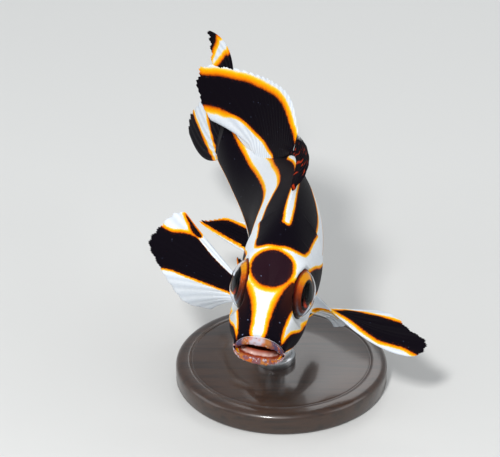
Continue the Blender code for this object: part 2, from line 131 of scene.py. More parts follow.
# %% The bent spine
def turn(side, up, roll):
    """Rotation matrices for a turn about z, then x, then y; angles in radians."""
    cy, sy, cx, sx, cr, sr = (f(v) for v in (side, up, roll) for f in (np.cos, np.sin))
    zero, one = np.zeros_like(cy), np.ones_like(cy)
    about_z = np.array([[cy, -sy, zero], [sy, cy, zero], [zero, zero, one]])
    about_x = np.array([[one, zero, zero], [zero, cx, -sx], [zero, sx, cx]])
    about_y = np.array([[cr, zero, sr], [zero, one, zero], [-sr, zero, cr]])
    return np.einsum("ij...,jk...,kl...->...il", about_z, about_x, about_y)


class Spine:
    """Carries straight places (s, x, z) to the bent fish."""

    def __init__(self):
        self.s = np.linspace(SPINE_START, SPINE_END, SPINE_POINTS)
        bend, lift, twist = (np.radians(curve(t, self.s)) for t in (SIDE_BEND, LIFT, TWIST))
        head = turn(*np.radians(np.array(HEAD_TURN))[:, None])[0]
        self.frame = head @ turn(bend, lift, twist)
        along = self.frame[:, :, 1]
        ahead = (along[:-1] + along[1:]) / 2 * np.diff(self.s)[:, None]
        self.place = np.vstack([np.zeros(3), np.cumsum(ahead, axis=0)])
        self.place += np.array(ANCHOR_PLACE) - self.at(self.place, ANCHOR)

    def at(self, rows, s):
        """Rows of a table over the spine, read at s."""
        return np.stack([np.interp(s, self.s, rows[:, k]) for k in range(3)], axis=-1)

    def __call__(self, point):
        point = np.asarray(point, float)
        s = point[..., 0]
        return (self.at(self.place, s) + self.at(self.frame[:, :, 0], s) * point[..., 1:2]
                + self.at(self.frame[:, :, 2], s) * point[..., 2:3])

    def near(self, s, offset):
        """Place of (tailward, left, up) offsets from the spine at one s, without the bend."""
        offset = np.asarray(offset, float)
        tail, left, up = (self.at(self.frame[:, :, k], s) for k in (1, 0, 2))
        return (self.at(self.place, s) + tail * offset[..., 0:1] + left * offset[..., 1:2]
                + up * offset[..., 2:3])


spine = Spine()
print("tail base at", spine(np.array([STALK_END, 0, 0])).round(1), "mm")

# %% [markdown]
# ## The body's surface
# Every cross-section is a superellipse whose back may be peaked. In front of the snout the
# sections run over the rolled lips and into the mouth along one Bezier curve each, so the lips,
# the mouth and the cheeks are all one surface. Angle 0 is the fish's left side, 90 its back.
# %% Cross-sections
SIDE_ROUNDNESS = 0.96


def section(s, angle):
    """Straight place on the body at s."""
    back, belly, half, widest = (curve(t, s) for t in (BACK, BELLY, HALF_WIDTH, WIDEST))
    c, sn = np.cos(angle), np.sin(angle)
    upper = sn > 0
    power = np.where(upper, curve(BACK_EDGE, s), curve(BELLY_EDGE, s))
    x = half * np.sign(c) * np.abs(c) ** power
    z = widest + np.where(upper, back - widest, belly - widest) * np.abs(sn) ** SIDE_ROUNDNESS
    return np.stack([s + 0 * angle, x, z], axis=-1)


print("behind the head the body is", round(float(2 * section(14.0, np.float64(0))[1]), 1), "mm wide")

# %% Lips and mouth
SNOUT = 2.5
SNOUT_STEP = 0.2
MOUTH_Z = -2.65
MOUTH_HALF_WIDTH = 2.3
MOUTH_SQUARENESS = 0.85
UPPER_LIP_RISE = 0.45
LOWER_LIP_DROP = 0.85
LIP_CREST = 0.3
CORNER_POWER = 2.2
CORNER_DROP = 1.15
CORNER_BACK = 1.6
LOWER_LIP_AHEAD = 0.15
LIP_ROLL = 1.2
LIP_OVERHANG = 0.55
SNOUT_REACH = 1.5
MOUTH_DEPTH = 2.4
GUM_DEPTH = 0.6
GUM_NARROWING = 0.12
THROAT_LENGTH = 1.8
THROAT_NARROWING = 0.5


def mouth_edge(angle):
    """Crest of the lips; the corners lie lower and further back than the middle."""
    c, sn = np.cos(angle), np.sin(angle)
    corner = np.abs(c) ** CORNER_POWER
    x = MOUTH_HALF_WIDTH * np.sign(c) * np.abs(c) ** MOUTH_SQUARENESS
    z = MOUTH_Z + np.where(sn > 0, UPPER_LIP_RISE, LOWER_LIP_DROP) * sn - CORNER_DROP * corner
    s = LIP_CREST + CORNER_BACK * corner - LOWER_LIP_AHEAD * np.clip(-sn, 0, 1)
    return np.stack([s, x, z], axis=-1)


def skin(u, angle):
    """Straight place on the skin: u is s behind the snout, 0 the lip crest, below 0 the mouth."""
    u, angle = np.broadcast_arrays(np.asarray(u, float), np.asarray(angle, float))
    behind = section(np.maximum(u, SNOUT), angle)
    t = np.clip(1 - u / SNOUT, 0, 1)[..., None]
    start = section(np.full(angle.shape, SNOUT), angle)
    lean = (section(np.full(angle.shape, SNOUT + SNOUT_STEP), angle) - start) / SNOUT_STEP
    crest = mouth_edge(angle)
    outer = np.stack([0 * angle, np.cos(angle) * 0.5, np.sin(angle)], axis=-1)
    first = start - lean * SNOUT_REACH
    second = crest + outer * LIP_ROLL - np.array([LIP_OVERHANG, 0, 0])
    front = (start * (1 - t)**3 + 3 * first * t * (1 - t)**2 + 3 * second * t**2 * (1 - t)
             + crest * t**3)
    depth = np.clip(-u, 0, MOUTH_DEPTH)[..., None]
    shrink = (1 - GUM_NARROWING * np.clip(depth / GUM_DEPTH, 0, 1)
              - THROAT_NARROWING * np.clip((depth - GUM_DEPTH) / THROAT_LENGTH, 0, 1))
    middle = np.array([0.0, 0.0, MOUTH_Z])
    scale = np.concatenate([np.ones_like(shrink), shrink, shrink], axis=-1)
    mouth = middle + (crest - middle) * scale + depth * np.array([1.0, 0, 0])
    row = u[..., None]
    return np.where(row >= SNOUT, behind, np.where(row >= 0, front, mouth))


print("snout tip at", spine(np.array([0.0, 0, MOUTH_Z])).round(1), "mm")


# %% Normals of the bent skin
def unit(rows):
    """Rows scaled to length 1."""
    return rows / np.maximum(np.linalg.norm(rows, axis=-1, keepdims=True), 1e-12)


def outward_normal(s, angle):
    """Normal of the bent skin."""
    d = 0.02
    along = spine(skin(s + d, angle)) - spine(skin(s - d, angle))
    around = spine(skin(s, angle + d)) - spine(skin(s, angle - d))
    return unit(np.cross(along, around))


print("normal of the forehead:", outward_normal(6.0, np.float64(math.pi / 2)).round(2))


# %% Steps, bells and patches
def straight_line(stations, at):
    """Value at `at` on straight runs between the stations."""
    place, value = np.array(stations, float).T
    return np.interp(at, place, value)


def smooth(low, high, at):
    """0 below low, 1 above high and an even slope between."""
    t = np.clip((np.asarray(at, float) - low) / (high - low), 0, 1)
    return t * t * (3 - 2 * t)


def hump(middle, width, at):
    """Bell of height 1."""
    return np.exp(-((np.asarray(at, float) - middle) / width) ** 2)


def cells(seed, across, along, x, y):
    """Smooth random values from 0 to 1; x and y count cells, and the cells repeat."""
    table = np.random.default_rng(seed).random((across, along))
    i, j = np.floor(x).astype(int), np.floor(y).astype(int)
    p, q = smooth(0, 1, x - i), smooth(0, 1, y - j)
    left, right = i % across, (i + 1) % across
    below, above = j % along, (j + 1) % along
    low = table[left, below] * (1 - p) + table[right, below] * p
    high = table[left, above] * (1 - p) + table[right, above] * p
    return low * (1 - q) + high * q


print("a bell half its width from the middle:", round(float(hump(0, 1, 0.5)), 2))

# %% [markdown]
# ## Distances to the edges of a marking
# The black bands have crisp edges, with a rim of orange and yellow of an even width. Painting a
# colour on each point of the mesh would blur them. Here each point keeps its distance to the
# nearest edge in millimetres instead, positive inside the black. The shader turns the distance
# into colour, so an edge stays sharp however coarse the mesh is. A marking is a closed outline
# of a few points on the unrolled surface, rounded by a spline.
# %% Rounded outlines
def rounded(points, per_side=14):
    """Closed outline through the points, by Catmull-Rom pieces."""
    p = np.array(points, float)
    before, after, later = np.roll(p, 1, axis=0), np.roll(p, -1, axis=0), np.roll(p, -2, axis=0)
    t = (np.arange(per_side) / per_side)[None, :, None]
    a, b, c, d = (q[:, None, :] for q in (before, p, after, later))
    made = 0.5 * (2 * b + (c - a) * t + (2 * a - 5 * b + 4 * c - d) * t**2
                  + (3 * b - 3 * c + d - a) * t**3)
    return made.reshape(-1, 2)


def inside(outline, uv):
    """Which places of the unrolled surface lie in a closed outline."""
    found = np.zeros(len(uv), bool)
    for (ax, ay), (bx, by) in zip(outline, np.roll(outline, -1, axis=0)):
        crosses = (ay > uv[:, 1]) != (by > uv[:, 1])
        height = np.where(crosses, uv[:, 1] - ay, 0)
        found ^= crosses & (uv[:, 0] < ax + height * (bx - ax) / (by - ay if by != ay else 1))
    return found


print("a square of 4 points is rounded to", len(rounded([(0, 0), (1, 0), (1, 1), (0, 1)])), "points")

# %% Signed distances
POINTS_AT_ONCE = 20000
NO_INK = -9.0


def nearest(points, line):
    """Distance from each point to the closest point of a line."""
    found = np.empty(len(points))
    for start in range(0, len(points), POINTS_AT_ONCE):
        some = slice(start, start + POINTS_AT_ONCE)
        part = points[some]
        square = (part**2).sum(1)[:, None] + (line**2).sum(1)[None, :] - 2 * part @ line.T
        found[some] = np.sqrt(np.maximum(square.min(axis=1), 0))
    return found


def ink_of(outlines, uv, points, place):
    """Signed distance to the union of the outlines; place() lifts (u, v) to millimetres."""
    ink = np.full(len(uv), NO_INK)
    for points_of_outline in outlines:
        outline = rounded(points_of_outline)
        away = nearest(points, place(outline))
        ink = np.maximum(ink, np.where(inside(outline, uv), away, -away))
    return ink


print("distances count up to", -NO_INK, "mm outside an edge")


# %% Colours
def srgb(red, green, blue):
    """Linear colour from the 0 to 255 numbers of a colour picker."""
    c = np.array([red, green, blue]) / 255.0
    linear = np.where(c <= 0.04045, c / 12.92, ((c + 0.055) / 1.055) ** 2.4)
    return tuple(float(v) for v in linear)


def blend(colours, colour, amount):
    """Mixes one colour into rows of colours."""
    a = np.clip(amount, 0, 1)[:, None]
    return colours * (1 - a) + np.array(colour) * a


def one_colour(colour, count):
    """Rows of one colour."""
    return np.tile(np.array(colour), (count, 1))


print("mid grey is", round(srgb(128, 128, 128)[0], 3), "in linear light")

# %% [markdown]
# ## Meshes and shader groups
# Each finished mesh carries its distances and colours as attributes of its points. All coloured
# surfaces share one shader group, which lays the colours out from the edge: black, red-brown,
# orange, yellow, then the ground colour. Another group gives the fine grain of wet skin, and pale
# blue specks painted on the black as tiny glints.
# %% Mesh helpers
def new_mesh(name, points, faces, material=None, numbers=None, colours=None, uv=None, edges=()):
    """Smooth object at the origin from points in millimetres, or wires or points without faces."""
    mesh = bpy.data.meshes.new(name)
    mesh.from_pydata((np.asarray(points) * MM).tolist(), edges, faces)
    mesh.update()
    for key, values in (numbers or {}).items():
        kept = mesh.attributes.new(key, "FLOAT", "POINT")
        kept.data.foreach_set("value", np.asarray(values, float))
    for key, values in (colours or {}).items():
        rows = np.hstack([values, np.ones((len(values), 1))]).astype(float)
        kept = mesh.attributes.new(key, "FLOAT_COLOR", "POINT")
        kept.data.foreach_set("color", rows.ravel())
    if uv is not None:
        corner = np.empty(len(mesh.loops), int)
        mesh.loops.foreach_get("vertex_index", corner)
        layer = mesh.uv_layers.new(name="Surface")
        layer.data.foreach_set("uv", np.asarray(uv, float)[corner].ravel())
    if faces:
        mesh.materials.append(material)
        mesh.shade_smooth()
    made = bpy.data.objects.new(name, mesh)
    bpy.context.scene.collection.objects.link(made)
    return made


def tube_faces(rings, around):
    """Quads of a tube with a fan at each end; the two end points come after the rings."""
    head, tail = rings * around, rings * around + 1
    faces = []
    for i in range(around):
        j = (i + 1) % around
        faces.append((head, j, i))
        faces.append((tail, (rings - 1) * around + i, (rings - 1) * around + j))
        for r in range(rings - 1):
            a, b = r * around, (r + 1) * around
            faces.append((a + i, a + j, b + j, b + i))
    return faces


def outward(points, faces):
    """The faces, turned round if they would enclose a negative volume."""
    fans = np.array([(f[0], f[k], f[k + 1]) for f in faces for k in range(1, len(f) - 1)])
    a, b, c = (np.asarray(points)[fans[:, k]] for k in range(3))
    if np.sum(a * np.cross(b, c)) < 0:
        return [tuple(reversed(face)) for face in faces]
    return faces


def count_triangles(thing):
    return sum(len(p.vertices) - 2 for p in thing.data.polygons)


print("a tube of 2 rings with 6 sides has", len(tube_faces(2, 6)), "faces")


# %% Node helpers
def new_material(name):
    """Material with nodes, and with it its node tree and its shader."""
    made = bpy.data.materials.new(name)
    made.use_nodes = True
    return made, made.node_tree, made.node_tree.nodes["Principled BSDF"]


def socket(group, name, kind, default=None, way="INPUT"):
    made = group.interface.new_socket(name=name, in_out=way, socket_type=kind)
    if default is not None:
        made.default_value = default
    return made


def add(tree, kind, **settings):
    node = tree.nodes.new(kind)
    for key, value in settings.items():
        setattr(node, key, value)
    return node


def set_inputs(node, **values):
    """Constants on a node's sockets; an underscore stands for a space in a socket's name."""
    for key, value in values.items():
        node.inputs[key.replace("_", " ")].default_value = value


def math_node(tree, operation, first, second=None, third=None, clamp=False):
    node = add(tree, "ShaderNodeMath", operation=operation, use_clamp=clamp)
    for index, value in enumerate((first, second, third)):
        if value is None:
            continue
        if isinstance(value, (int, float)):
            node.inputs[index].default_value = value
        else:
            tree.links.new(value, node.inputs[index])
    return node.outputs[0]


def ramp(tree, fac, stops):
    """Colour from a value, through (position, colour) stops."""
    node = add(tree, "ShaderNodeValToRGB")
    elements = node.color_ramp.elements
    elements[0].position, elements[1].position = stops[0][0], stops[-1][0]
    for place, _ in stops[1:-1]:
        elements.new(place)
    for element, (_, colour) in zip(elements, stops):
        element.color = (*colour, 1)
    tree.links.new(fac, node.inputs[0])
    return node.outputs[0]


def mix_colour(tree, fac, first, second, blend_type="MIX"):
    node = add(tree, "ShaderNodeMix", data_type="RGBA", blend_type=blend_type)
    for index, value in ((0, fac), (6, first), (7, second)):
        if isinstance(value, tuple):
            node.inputs[index].default_value = (*value, 1)
        elif isinstance(value, (int, float)):
            node.inputs[index].default_value = value
        else:
            tree.links.new(value, node.inputs[index])
    return node.outputs[2]


def noise(tree, vector, scale, detail=2.0, roughness=0.5):
    node = add(tree, "ShaderNodeTexNoise")
    set_inputs(node, Scale=scale, Detail=detail, Roughness=roughness)
    tree.links.new(vector, node.inputs["Vector"])
    return node.outputs["Fac"]


def smooth_range(tree, value, low, high):
    """0 below low, 1 above high and a soft slope between, in a shader."""
    node = add(tree, "ShaderNodeMapRange", interpolation_type="SMOOTHSTEP")
    tree.links.new(value, node.inputs["Value"])
    set_inputs(node, From_Min=low, From_Max=high)
    return node.outputs[0]


def bump_map(tree, height, strength, distance):
    """Normal from a height; distance is in millimetres."""
    node = add(tree, "ShaderNodeBump")
    set_inputs(node, Strength=strength, Distance=distance * MM)
    tree.links.new(height, node.inputs["Height"])
    return node.outputs[0]


def object_place(tree):
    return add(tree, "ShaderNodeTexCoord").outputs["Object"]


# %% Shader group: colours laid out from an edge
RED_BROWN = srgb(66, 20, 12)
DEEP_ORANGE = srgb(176, 74, 10)
ORANGE = srgb(238, 128, 4)
YELLOW = srgb(252, 182, 8)
PALE_YELLOW = srgb(252, 216, 90)
RIM_COLOURS = [(0.0, RED_BROWN), (0.12, DEEP_ORANGE), (0.3, ORANGE), (0.72, YELLOW), (1.0, PALE_YELLOW)]
COARSE_SCALE = 1400.0
COARSE_WANDER = 0.16
FINE_SCALE = 6500.0
FINE_WANDER = 0.27
FRECKLE_SCALE = 6500.0
FRECKLE_SIZE = 0.24
FRECKLE_FADE = 2.6
FRECKLE_STRENGTH = 0.3
BLACK_STARTS = (-0.05, 0.09)
RIM_ENDS = (0.86, 1.12)


def make_edge_group():
    """Ink, rim width, dark and ground colour in; colour and a mask of the dark out."""
    group = bpy.data.node_groups.new("banded_edge", "ShaderNodeTree")
    socket(group, "Ink", "NodeSocketFloat", 0.0)
    socket(group, "Rim", "NodeSocketFloat", 0.5)
    socket(group, "Dark", "NodeSocketColor", (0.01, 0.008, 0.012, 1))
    socket(group, "Ground", "NodeSocketColor", (0.8, 0.8, 0.8, 1))
    socket(group, "Place", "NodeSocketVector")
    socket(group, "Color", "NodeSocketColor", way="OUTPUT")
    socket(group, "Dark mask", "NodeSocketFloat", way="OUTPUT")
    enter, leave = add(group, "NodeGroupInput"), add(group, "NodeGroupOutput")
    ink, rim, dark, ground, place = (enter.outputs[k] for k in range(5))
    coarse = math_node(group, "SUBTRACT", noise(group, place, COARSE_SCALE, 3.0, 0.6), 0.5)
    fine = math_node(group, "SUBTRACT", noise(group, place, FINE_SCALE, 2.0, 0.7), 0.5)
    wander = math_node(group, "ADD", math_node(group, "MULTIPLY", coarse, COARSE_WANDER),
                       math_node(group, "MULTIPLY", fine, FINE_WANDER))
    shifted = math_node(group, "ADD", ink, wander)
    out = math_node(group, "DIVIDE", math_node(group, "MULTIPLY", shifted, -1.0), rim)
    border = ramp(group, out, RIM_COLOURS)
    spots = add(group, "ShaderNodeTexVoronoi", feature="F1")
    set_inputs(spots, Scale=FRECKLE_SCALE)
    group.links.new(place, spots.inputs["Vector"])
    dot = math_node(group, "LESS_THAN", spots.outputs["Distance"], FRECKLE_SIZE)
    faded = math_node(group, "MULTIPLY", ink, FRECKLE_FADE)
    near_edge = math_node(group, "SUBTRACT", 1.0, faded, clamp=True)
    freckle = math_node(group, "MULTIPLY", math_node(group, "MULTIPLY", dot, near_edge), FRECKLE_STRENGTH)
    freckled = mix_colour(group, freckle, dark, DEEP_ORANGE)
    covered = smooth_range(group, shifted, *BLACK_STARTS)
    light = mix_colour(group, smooth_range(group, out, *RIM_ENDS), border, ground)
    group.links.new(mix_colour(group, covered, light, freckled), leave.inputs[0])
    group.links.new(covered, leave.inputs[1])
    return group


edge_group = make_edge_group()
print("edge group:", len(edge_group.nodes), "nodes")

# %% Shader group: grain of wet skin and painted glints
SCALE_DISORDER = 0.35
GLINT_SPECK_SCALE = 3600.0
GLINT_SPECK_SHARE = 0.1
GLINT_SPECK_SIZE = 0.2
SLIME_SCALE = 900.0
GRIT_SCALE = 9000.0


def make_grain_and_glint_group():
    """Height of fine scales and slime, and a mask of specks painted as glints, from the unrolled surface and
    the place.
    """
    group = bpy.data.node_groups.new("wet_grain", "ShaderNodeTree")
    socket(group, "Surface", "NodeSocketVector")
    socket(group, "Place", "NodeSocketVector")
    socket(group, "Scale size", "NodeSocketFloat", 1.6)
    socket(group, "Height", "NodeSocketFloat", way="OUTPUT")
    socket(group, "Speck", "NodeSocketFloat", way="OUTPUT")
    enter, leave = add(group, "NodeGroupInput"), add(group, "NodeGroupOutput")
    scales = add(group, "ShaderNodeTexVoronoi", feature="F1")
    set_inputs(scales, Randomness=SCALE_DISORDER)
    group.links.new(enter.outputs[0], scales.inputs["Vector"])
    group.links.new(enter.outputs[2], scales.inputs["Scale"])
    slime = noise(group, enter.outputs[1], SLIME_SCALE, 3.0)
    grit = noise(group, enter.outputs[1], GRIT_SCALE, 2.0)
    height = math_node(group, "ADD", math_node(group, "MULTIPLY", scales.outputs["Distance"], -0.6),
                       math_node(group, "ADD", math_node(group, "MULTIPLY", slime, 0.5),
                                 math_node(group, "MULTIPLY", grit, 0.25)))
    group.links.new(height, leave.inputs[0])
    # Pale specks on the black, painted to stand in for tiny glints of the wet skin
    glint_specks = add(group, "ShaderNodeTexVoronoi", feature="F1")
    set_inputs(glint_specks, Scale=GLINT_SPECK_SCALE)
    group.links.new(enter.outputs[1], glint_specks.inputs["Vector"])
    split = add(group, "ShaderNodeSeparateColor")
    group.links.new(glint_specks.outputs["Color"], split.inputs[0])
    chosen = math_node(group, "GREATER_THAN", split.outputs[0], 1 - GLINT_SPECK_SHARE)
    small = math_node(group, "LESS_THAN", glint_specks.outputs["Distance"],
                      math_node(group, "MULTIPLY", split.outputs[1], GLINT_SPECK_SIZE))
    group.links.new(math_node(group, "MULTIPLY", chosen, small), leave.inputs[1])
    return group


grain_and_glint_group = make_grain_and_glint_group()
print("grain group:", len(grain_and_glint_group.nodes), "nodes")

# %% Materials of skin and fins
SHEEN = 0.02
SHADE_SCALE = 3200.0
SHADE_STRENGTH = 0.2
# Colour of the pale specks painted on the black as glints of wet skin
GLINT_SPECK_BLUE = srgb(150, 165, 205)


def attribute(tree, name, output="Fac"):
    """An attribute of the mesh's points, in a shader."""
    node = add(tree, "ShaderNodeAttribute", attribute_name=name)
    return node.outputs[output]


def place_group(tree, group, **links):
    """A group's node with its inputs linked."""
    node = add(tree, "ShaderNodeGroup", node_tree=group)
    for key, value in links.items():
        tree.links.new(value, node.inputs[key])
    return node


def make_coloured(name, roughness, bump, distance, see_through=False):
    """Material for skin, fins and rays; the bump's distance is in millimetres."""
    made, tree, shader = new_material(name)
    coordinates = add(tree, "ShaderNodeTexCoord")
    place = coordinates.outputs["Object"]
    edge = place_group(tree, edge_group, Ink=attribute(tree, "ink"), Rim=attribute(tree, "rim"),
                       Dark=attribute(tree, "dark", "Color"),
                       Ground=attribute(tree, "ground", "Color"), Place=place)
    grain = place_group(tree, grain_and_glint_group, Surface=coordinates.outputs["UV"], Place=place)
    # The grain group also gives the painted glints: pale blue specks on the black parts
    glint_speck = math_node(tree, "MULTIPLY", grain.outputs["Speck"], edge.outputs["Dark mask"])
    glint_speck = math_node(tree, "MULTIPLY", glint_speck, attribute(tree, "glint_speck"))
    shade = math_node(tree, "MULTIPLY", noise(tree, place, SHADE_SCALE, 4.0, 0.7), SHADE_STRENGTH)
    toned = mix_colour(tree, shade, edge.outputs["Color"], (0.0, 0.0, 0.0))
    tree.links.new(mix_colour(tree, glint_speck, toned, GLINT_SPECK_BLUE), shader.inputs["Base Color"])
    tree.links.new(bump_map(tree, grain.outputs["Height"], bump, distance), shader.inputs["Normal"])
    set_inputs(shader, Roughness=roughness, Specular_IOR_Level=SHEEN)
    if see_through:
        tree.links.new(attribute(tree, "body"), shader.inputs["Alpha"])
    return made


skin_material = make_coloured("banded_skin", 0.5, 0.3, 0.04)
fin_material = make_coloured("fin_membrane", 0.55, 0.2, 0.02, see_through=True)
ray_material = make_coloured("fin_ray", 0.5, 0.15, 0.02)
print("materials:", [m.name for m in (skin_material, fin_material, ray_material)])

# %% [markdown]
# ## Where the markings lie on the body
# The unrolled body has two measures: u, the distance behind the lips, and a, the angle from the
# middle of the back, negative on the fish's left. The markings of a young lessons sweetlips are
# a dark back, a stripe from the mouth through the eye to the tail, a stripe along the cheek and
# belly, and one round spot on the forehead. The snout's markings sit a few degrees off the
# middle line, as on the real one, so the angle is shifted there.
# %% Outlines of the bands
SNOUT_SHIFT = [(-3, 6.5), (5, 6.5), (9, 0), (11, -1.5), (20, -1.5), (30, 0)]
NAPE_SHIFT = [(-3, 0), (7, 0), (10, -9), (13, -9), (17, 0), (50, 0)]
SPOT_PLACE = (5.5, -0.2, 4.3)
SPOT_ACROSS = 2.15
SPOT_UP = 1.9
FOREHEAD_SLOPE = (0.5, 0.0, 0.87)

BACK_BAND_EDGE = [(7.6, 12), (8.1, 31), (8.9, 44), (9.9, 50), (11.5, 54), (13, 56.5), (15, 59),
                  (18, 58.5), (20, 53), (22, 46), (26, 41), (30, 34), (32.5, 22), (34, 9)]
BACK_BAND_ENDS = (7.45, 34.4)
EYE_BAND_TOP = [(0.3, 17), (1.4, 18.5), (2.0, 19.5), (2.75, 23), (3.45, 26), (4.2, 32), (4.8, 40),
                (6.2, 52), (8.0, 59.5), (9.05, 64), (11, 71), (13, 79), (15, 84), (17, 84), (20, 76),
                (22, 69), (24, 65.5), (27, 63.5), (31, 60), (35.4, 53), (38, 45), (40.4, 34), (43, 22),
                (46, 12), (49, 6)]
EYE_BAND_FOOT = [(49, 140), (46, 134), (44, 128), (41, 121), (38, 119), (35, 116), (32, 112),
                 (29, 109), (26, 112), (23, 116), (20, 116), (17, 108), (15, 104), (13, 99), (10, 93),
                 (8.5, 86), (6.5, 81), (4.9, 70), (4.0, 59), (3.1, 53), (2.2, 53), (1.5, 54), (1.0, 57),
                 (0.3, 58)]
CHEEK_BAND_TOP = [(0.3, 59), (1.0, 61), (1.7, 72), (3.1, 86), (4.3, 93), (6.1, 99), (8, 105), (10, 115),
                  (13, 126), (16, 140), (20, 151), (25, 158), (30, 163), (34, 168), (37, 173),
                  (37.5, 186)]
CHEEK_BAND_FOOT = [(27, 186), (25, 176), (20, 165), (16, 155), (12, 142), (8, 132), (4, 123), (2, 116),
                   (0.8, 108)]
STRIPE_ENDS = (10.35, 27.5)
STRIPE_HALF = [(10.35, 0.6), (12, 0.72), (14.5, 0.82), (20, 0.82), (27, 0.7)]
print("the back's band runs from", BACK_BAND_ENDS[0], "to", BACK_BAND_ENDS[1], "mm behind the lips")


# %% From angles to places of the markings
def shift(u, a):
    """Degrees that the markings' middle line lies off the back's."""
    broad = straight_line(SNOUT_SHIFT, u) * np.clip((110 - np.abs(a)) / 60, 0, 1)
    return broad + straight_line(NAPE_SHIFT, u) * np.exp(-(a / 18) ** 2)


def marking_angle(u, angle):
    """Angle from the markings' middle line, -180 to 180 degrees, the left side negative."""
    raw = (np.degrees(angle) - 90 + 180) % 360 - 180
    a = raw.copy()
    for _ in range(6):
        a = raw - shift(u, a)
    return a


def on_skin(outline):
    """Straight places of (u, a) rows."""
    u, a = outline[:, 0], outline[:, 1]
    return skin(u, np.radians(90 + a + shift(u, a)))


def mirrored(line):
    """The same outline on the fish's other side."""
    return [(u, -a) for u, a in line]


def from_spot(points):
    """Distance from the middle of the forehead's spot; 1 on its round edge."""
    away = points - np.array(SPOT_PLACE)
    return np.hypot(away[:, 1] / SPOT_ACROSS, away @ np.array(FOREHEAD_SLOPE) / SPOT_UP)


print("the middle line is shifted by", float(shift(3.0, 0.0)), "degrees on the snout")

# %% Black and rim on the body
RIM = 0.42
SNOUT_RIM = 0.34
TAIL_RIM = 0.22
STRIPE_RIM = 0.36
STRIPE_NEAR = 1.6


def body_ink(u, angle, points):
    """Distance to the black, width of the coloured rim and marking angle at the skin's points."""
    a = marking_angle(u, angle)
    uv = np.stack([u, a], axis=-1)
    first, last = BACK_BAND_ENDS
    back_band = [(first, 0), *BACK_BAND_EDGE, (last, 0), *mirrored(BACK_BAND_EDGE[::-1])]
    eye_band = EYE_BAND_TOP + EYE_BAND_FOOT
    cheek_band = CHEEK_BAND_TOP + CHEEK_BAND_FOOT
    back = ink_of([back_band], uv, points, on_skin)
    s = np.linspace(*STRIPE_ENDS, 120)
    from_stripe = nearest(points, on_skin(np.stack([s, 0 * s], axis=-1)))
    back = np.minimum(back, from_stripe - straight_line(STRIPE_HALF, u))
    outlines = [eye_band, mirrored(eye_band), cheek_band, mirrored(cheek_band)]
    ink = np.maximum(back, ink_of(outlines, uv, points, on_skin))
    side = np.abs(a)
    rim = RIM + SNOUT_RIM * hump(3.2, 1.1, u) * smooth(42, 34, side) + TAIL_RIM * smooth(15, 24, u)
    rim *= 1 - 0.6 * smooth(88, 100, side) * smooth(22, 28, u)
    rim = np.where(from_stripe < STRIPE_NEAR, STRIPE_RIM, rim)
    return ink, rim, a


print("outlines of the side bands:", len(EYE_BAND_TOP + EYE_BAND_FOOT), "and",
      len(CHEEK_BAND_TOP + CHEEK_BAND_FOOT), "points")


# %% [markdown]
# ## The skin
# One tube of rings runs from the throat over the lips and head to the tail. The solids have
# thin gaps between head, trunk and tail stalk, which the one skin covers. On it the rims of the
# eye sockets, the gill cover, the jaw's fold and the nostrils are pushed out or in by functions
# of the place, in hundredths of a millimetre, so each shows in the mesh as well as in the paint.
# %% Eye frame and sockets
EYE_PLACE = (6.5, 3.05, 1.35)
EYE_RADIUS = 2.7
EYE_AXIS = (-0.24, 1.0, 0.13)
SOCKET_REACH = 3.75
SOCKET_RIM = 0.13
SOCKET_FLOOR = -0.45
SOCKET_EDGE = 0.06
DEEPEST = -1.9


def eye_frame():
    """Rows fore, up and axis of the left eye, in straight places."""
    axis = unit(np.array(EYE_AXIS))
    up = unit(np.array([0, 0, 1.0]) - axis * axis[2])
    return np.stack([np.cross(up, axis), up, axis])


def socket_height(r, own):
    """Height over the eye's plane: a floor under the ball, a rim, then the head's own height."""
    drawn = smooth(SOCKET_REACH, EYE_RADIUS + 0.1, r) * smooth(DEEPEST, -1.2, own)
    outer = own + (SOCKET_RIM - own) * drawn
    return outer + (SOCKET_FLOOR - outer) * smooth(EYE_RADIUS - SOCKET_EDGE, EYE_RADIUS - 0.2, r)


def socket_skin(points):
    """Draws the skin to a rim round each eye, along rays from the middle of the body."""
    middle = points.copy()
    middle[:, 1] = 0
    middle[:, 2] = curve(WIDEST, np.maximum(points[:, 0], SNOUT))
    spoke = points - middle
    scale = np.ones(len(points))
    for side in (1, -1):
        flip = np.array([1, side, 1.0])

        def above(size, rows):
            """Distances from the eye's axis and heights over its plane, at a scale of the spokes."""
            place = (middle[rows] + spoke[rows] * size[:, None]) * flip
            local = (place - np.array(EYE_PLACE)) @ eye_frame().T
            return np.hypot(local[:, 0], local[:, 1]), local[:, 2]

        r, own = above(scale, slice(None))
        close = (r < SOCKET_REACH + 0.6) & (points[:, 1] * side > 0.2) & (own > DEEPEST)
        rows = np.flatnonzero(close)
        own = own[rows]
        low, high = np.full(len(rows), 0.5), np.full(len(rows), 1.6)
        for _ in range(24):
            half = (low + high) / 2
            r, height = above(half, rows)
            too_far = height > socket_height(r, own)
            low, high = np.where(too_far, low, half), np.where(too_far, half, high)
        scale[rows] = (low + high) / 2
    return middle + spoke * scale[:, None]


print("the left eye looks along", eye_frame()[2].round(2))

# %% Gill cover, lips and nostrils
GILL_PLACE = 12.3
GILL_BULGE = 2.9
GILL_SWEEP = 3.0
COVER_RISE = 0.20
COVER_GROOVE = 0.12
INNER_GAP = 3.6
INNER_RISE = 0.05
GILL_START = 6
UPPER_LIP = [(0.12, 0.42, 0.3), (-0.20, 0.82, 0.12), (0.05, 1.15, 0.2)]
LOWER_LIP = [(0.14, 0.5, 0.4), (-0.14, 1.35, 0.22)]
LOWER_GUM = [(0.22, -0.95, 0.16), (-0.16, -0.5, 0.22)]
UPPER_GUM = [(0.12, -0.7, 0.15), (-0.10, -0.35, 0.18)]
RAGGED_LIPS = 0.10
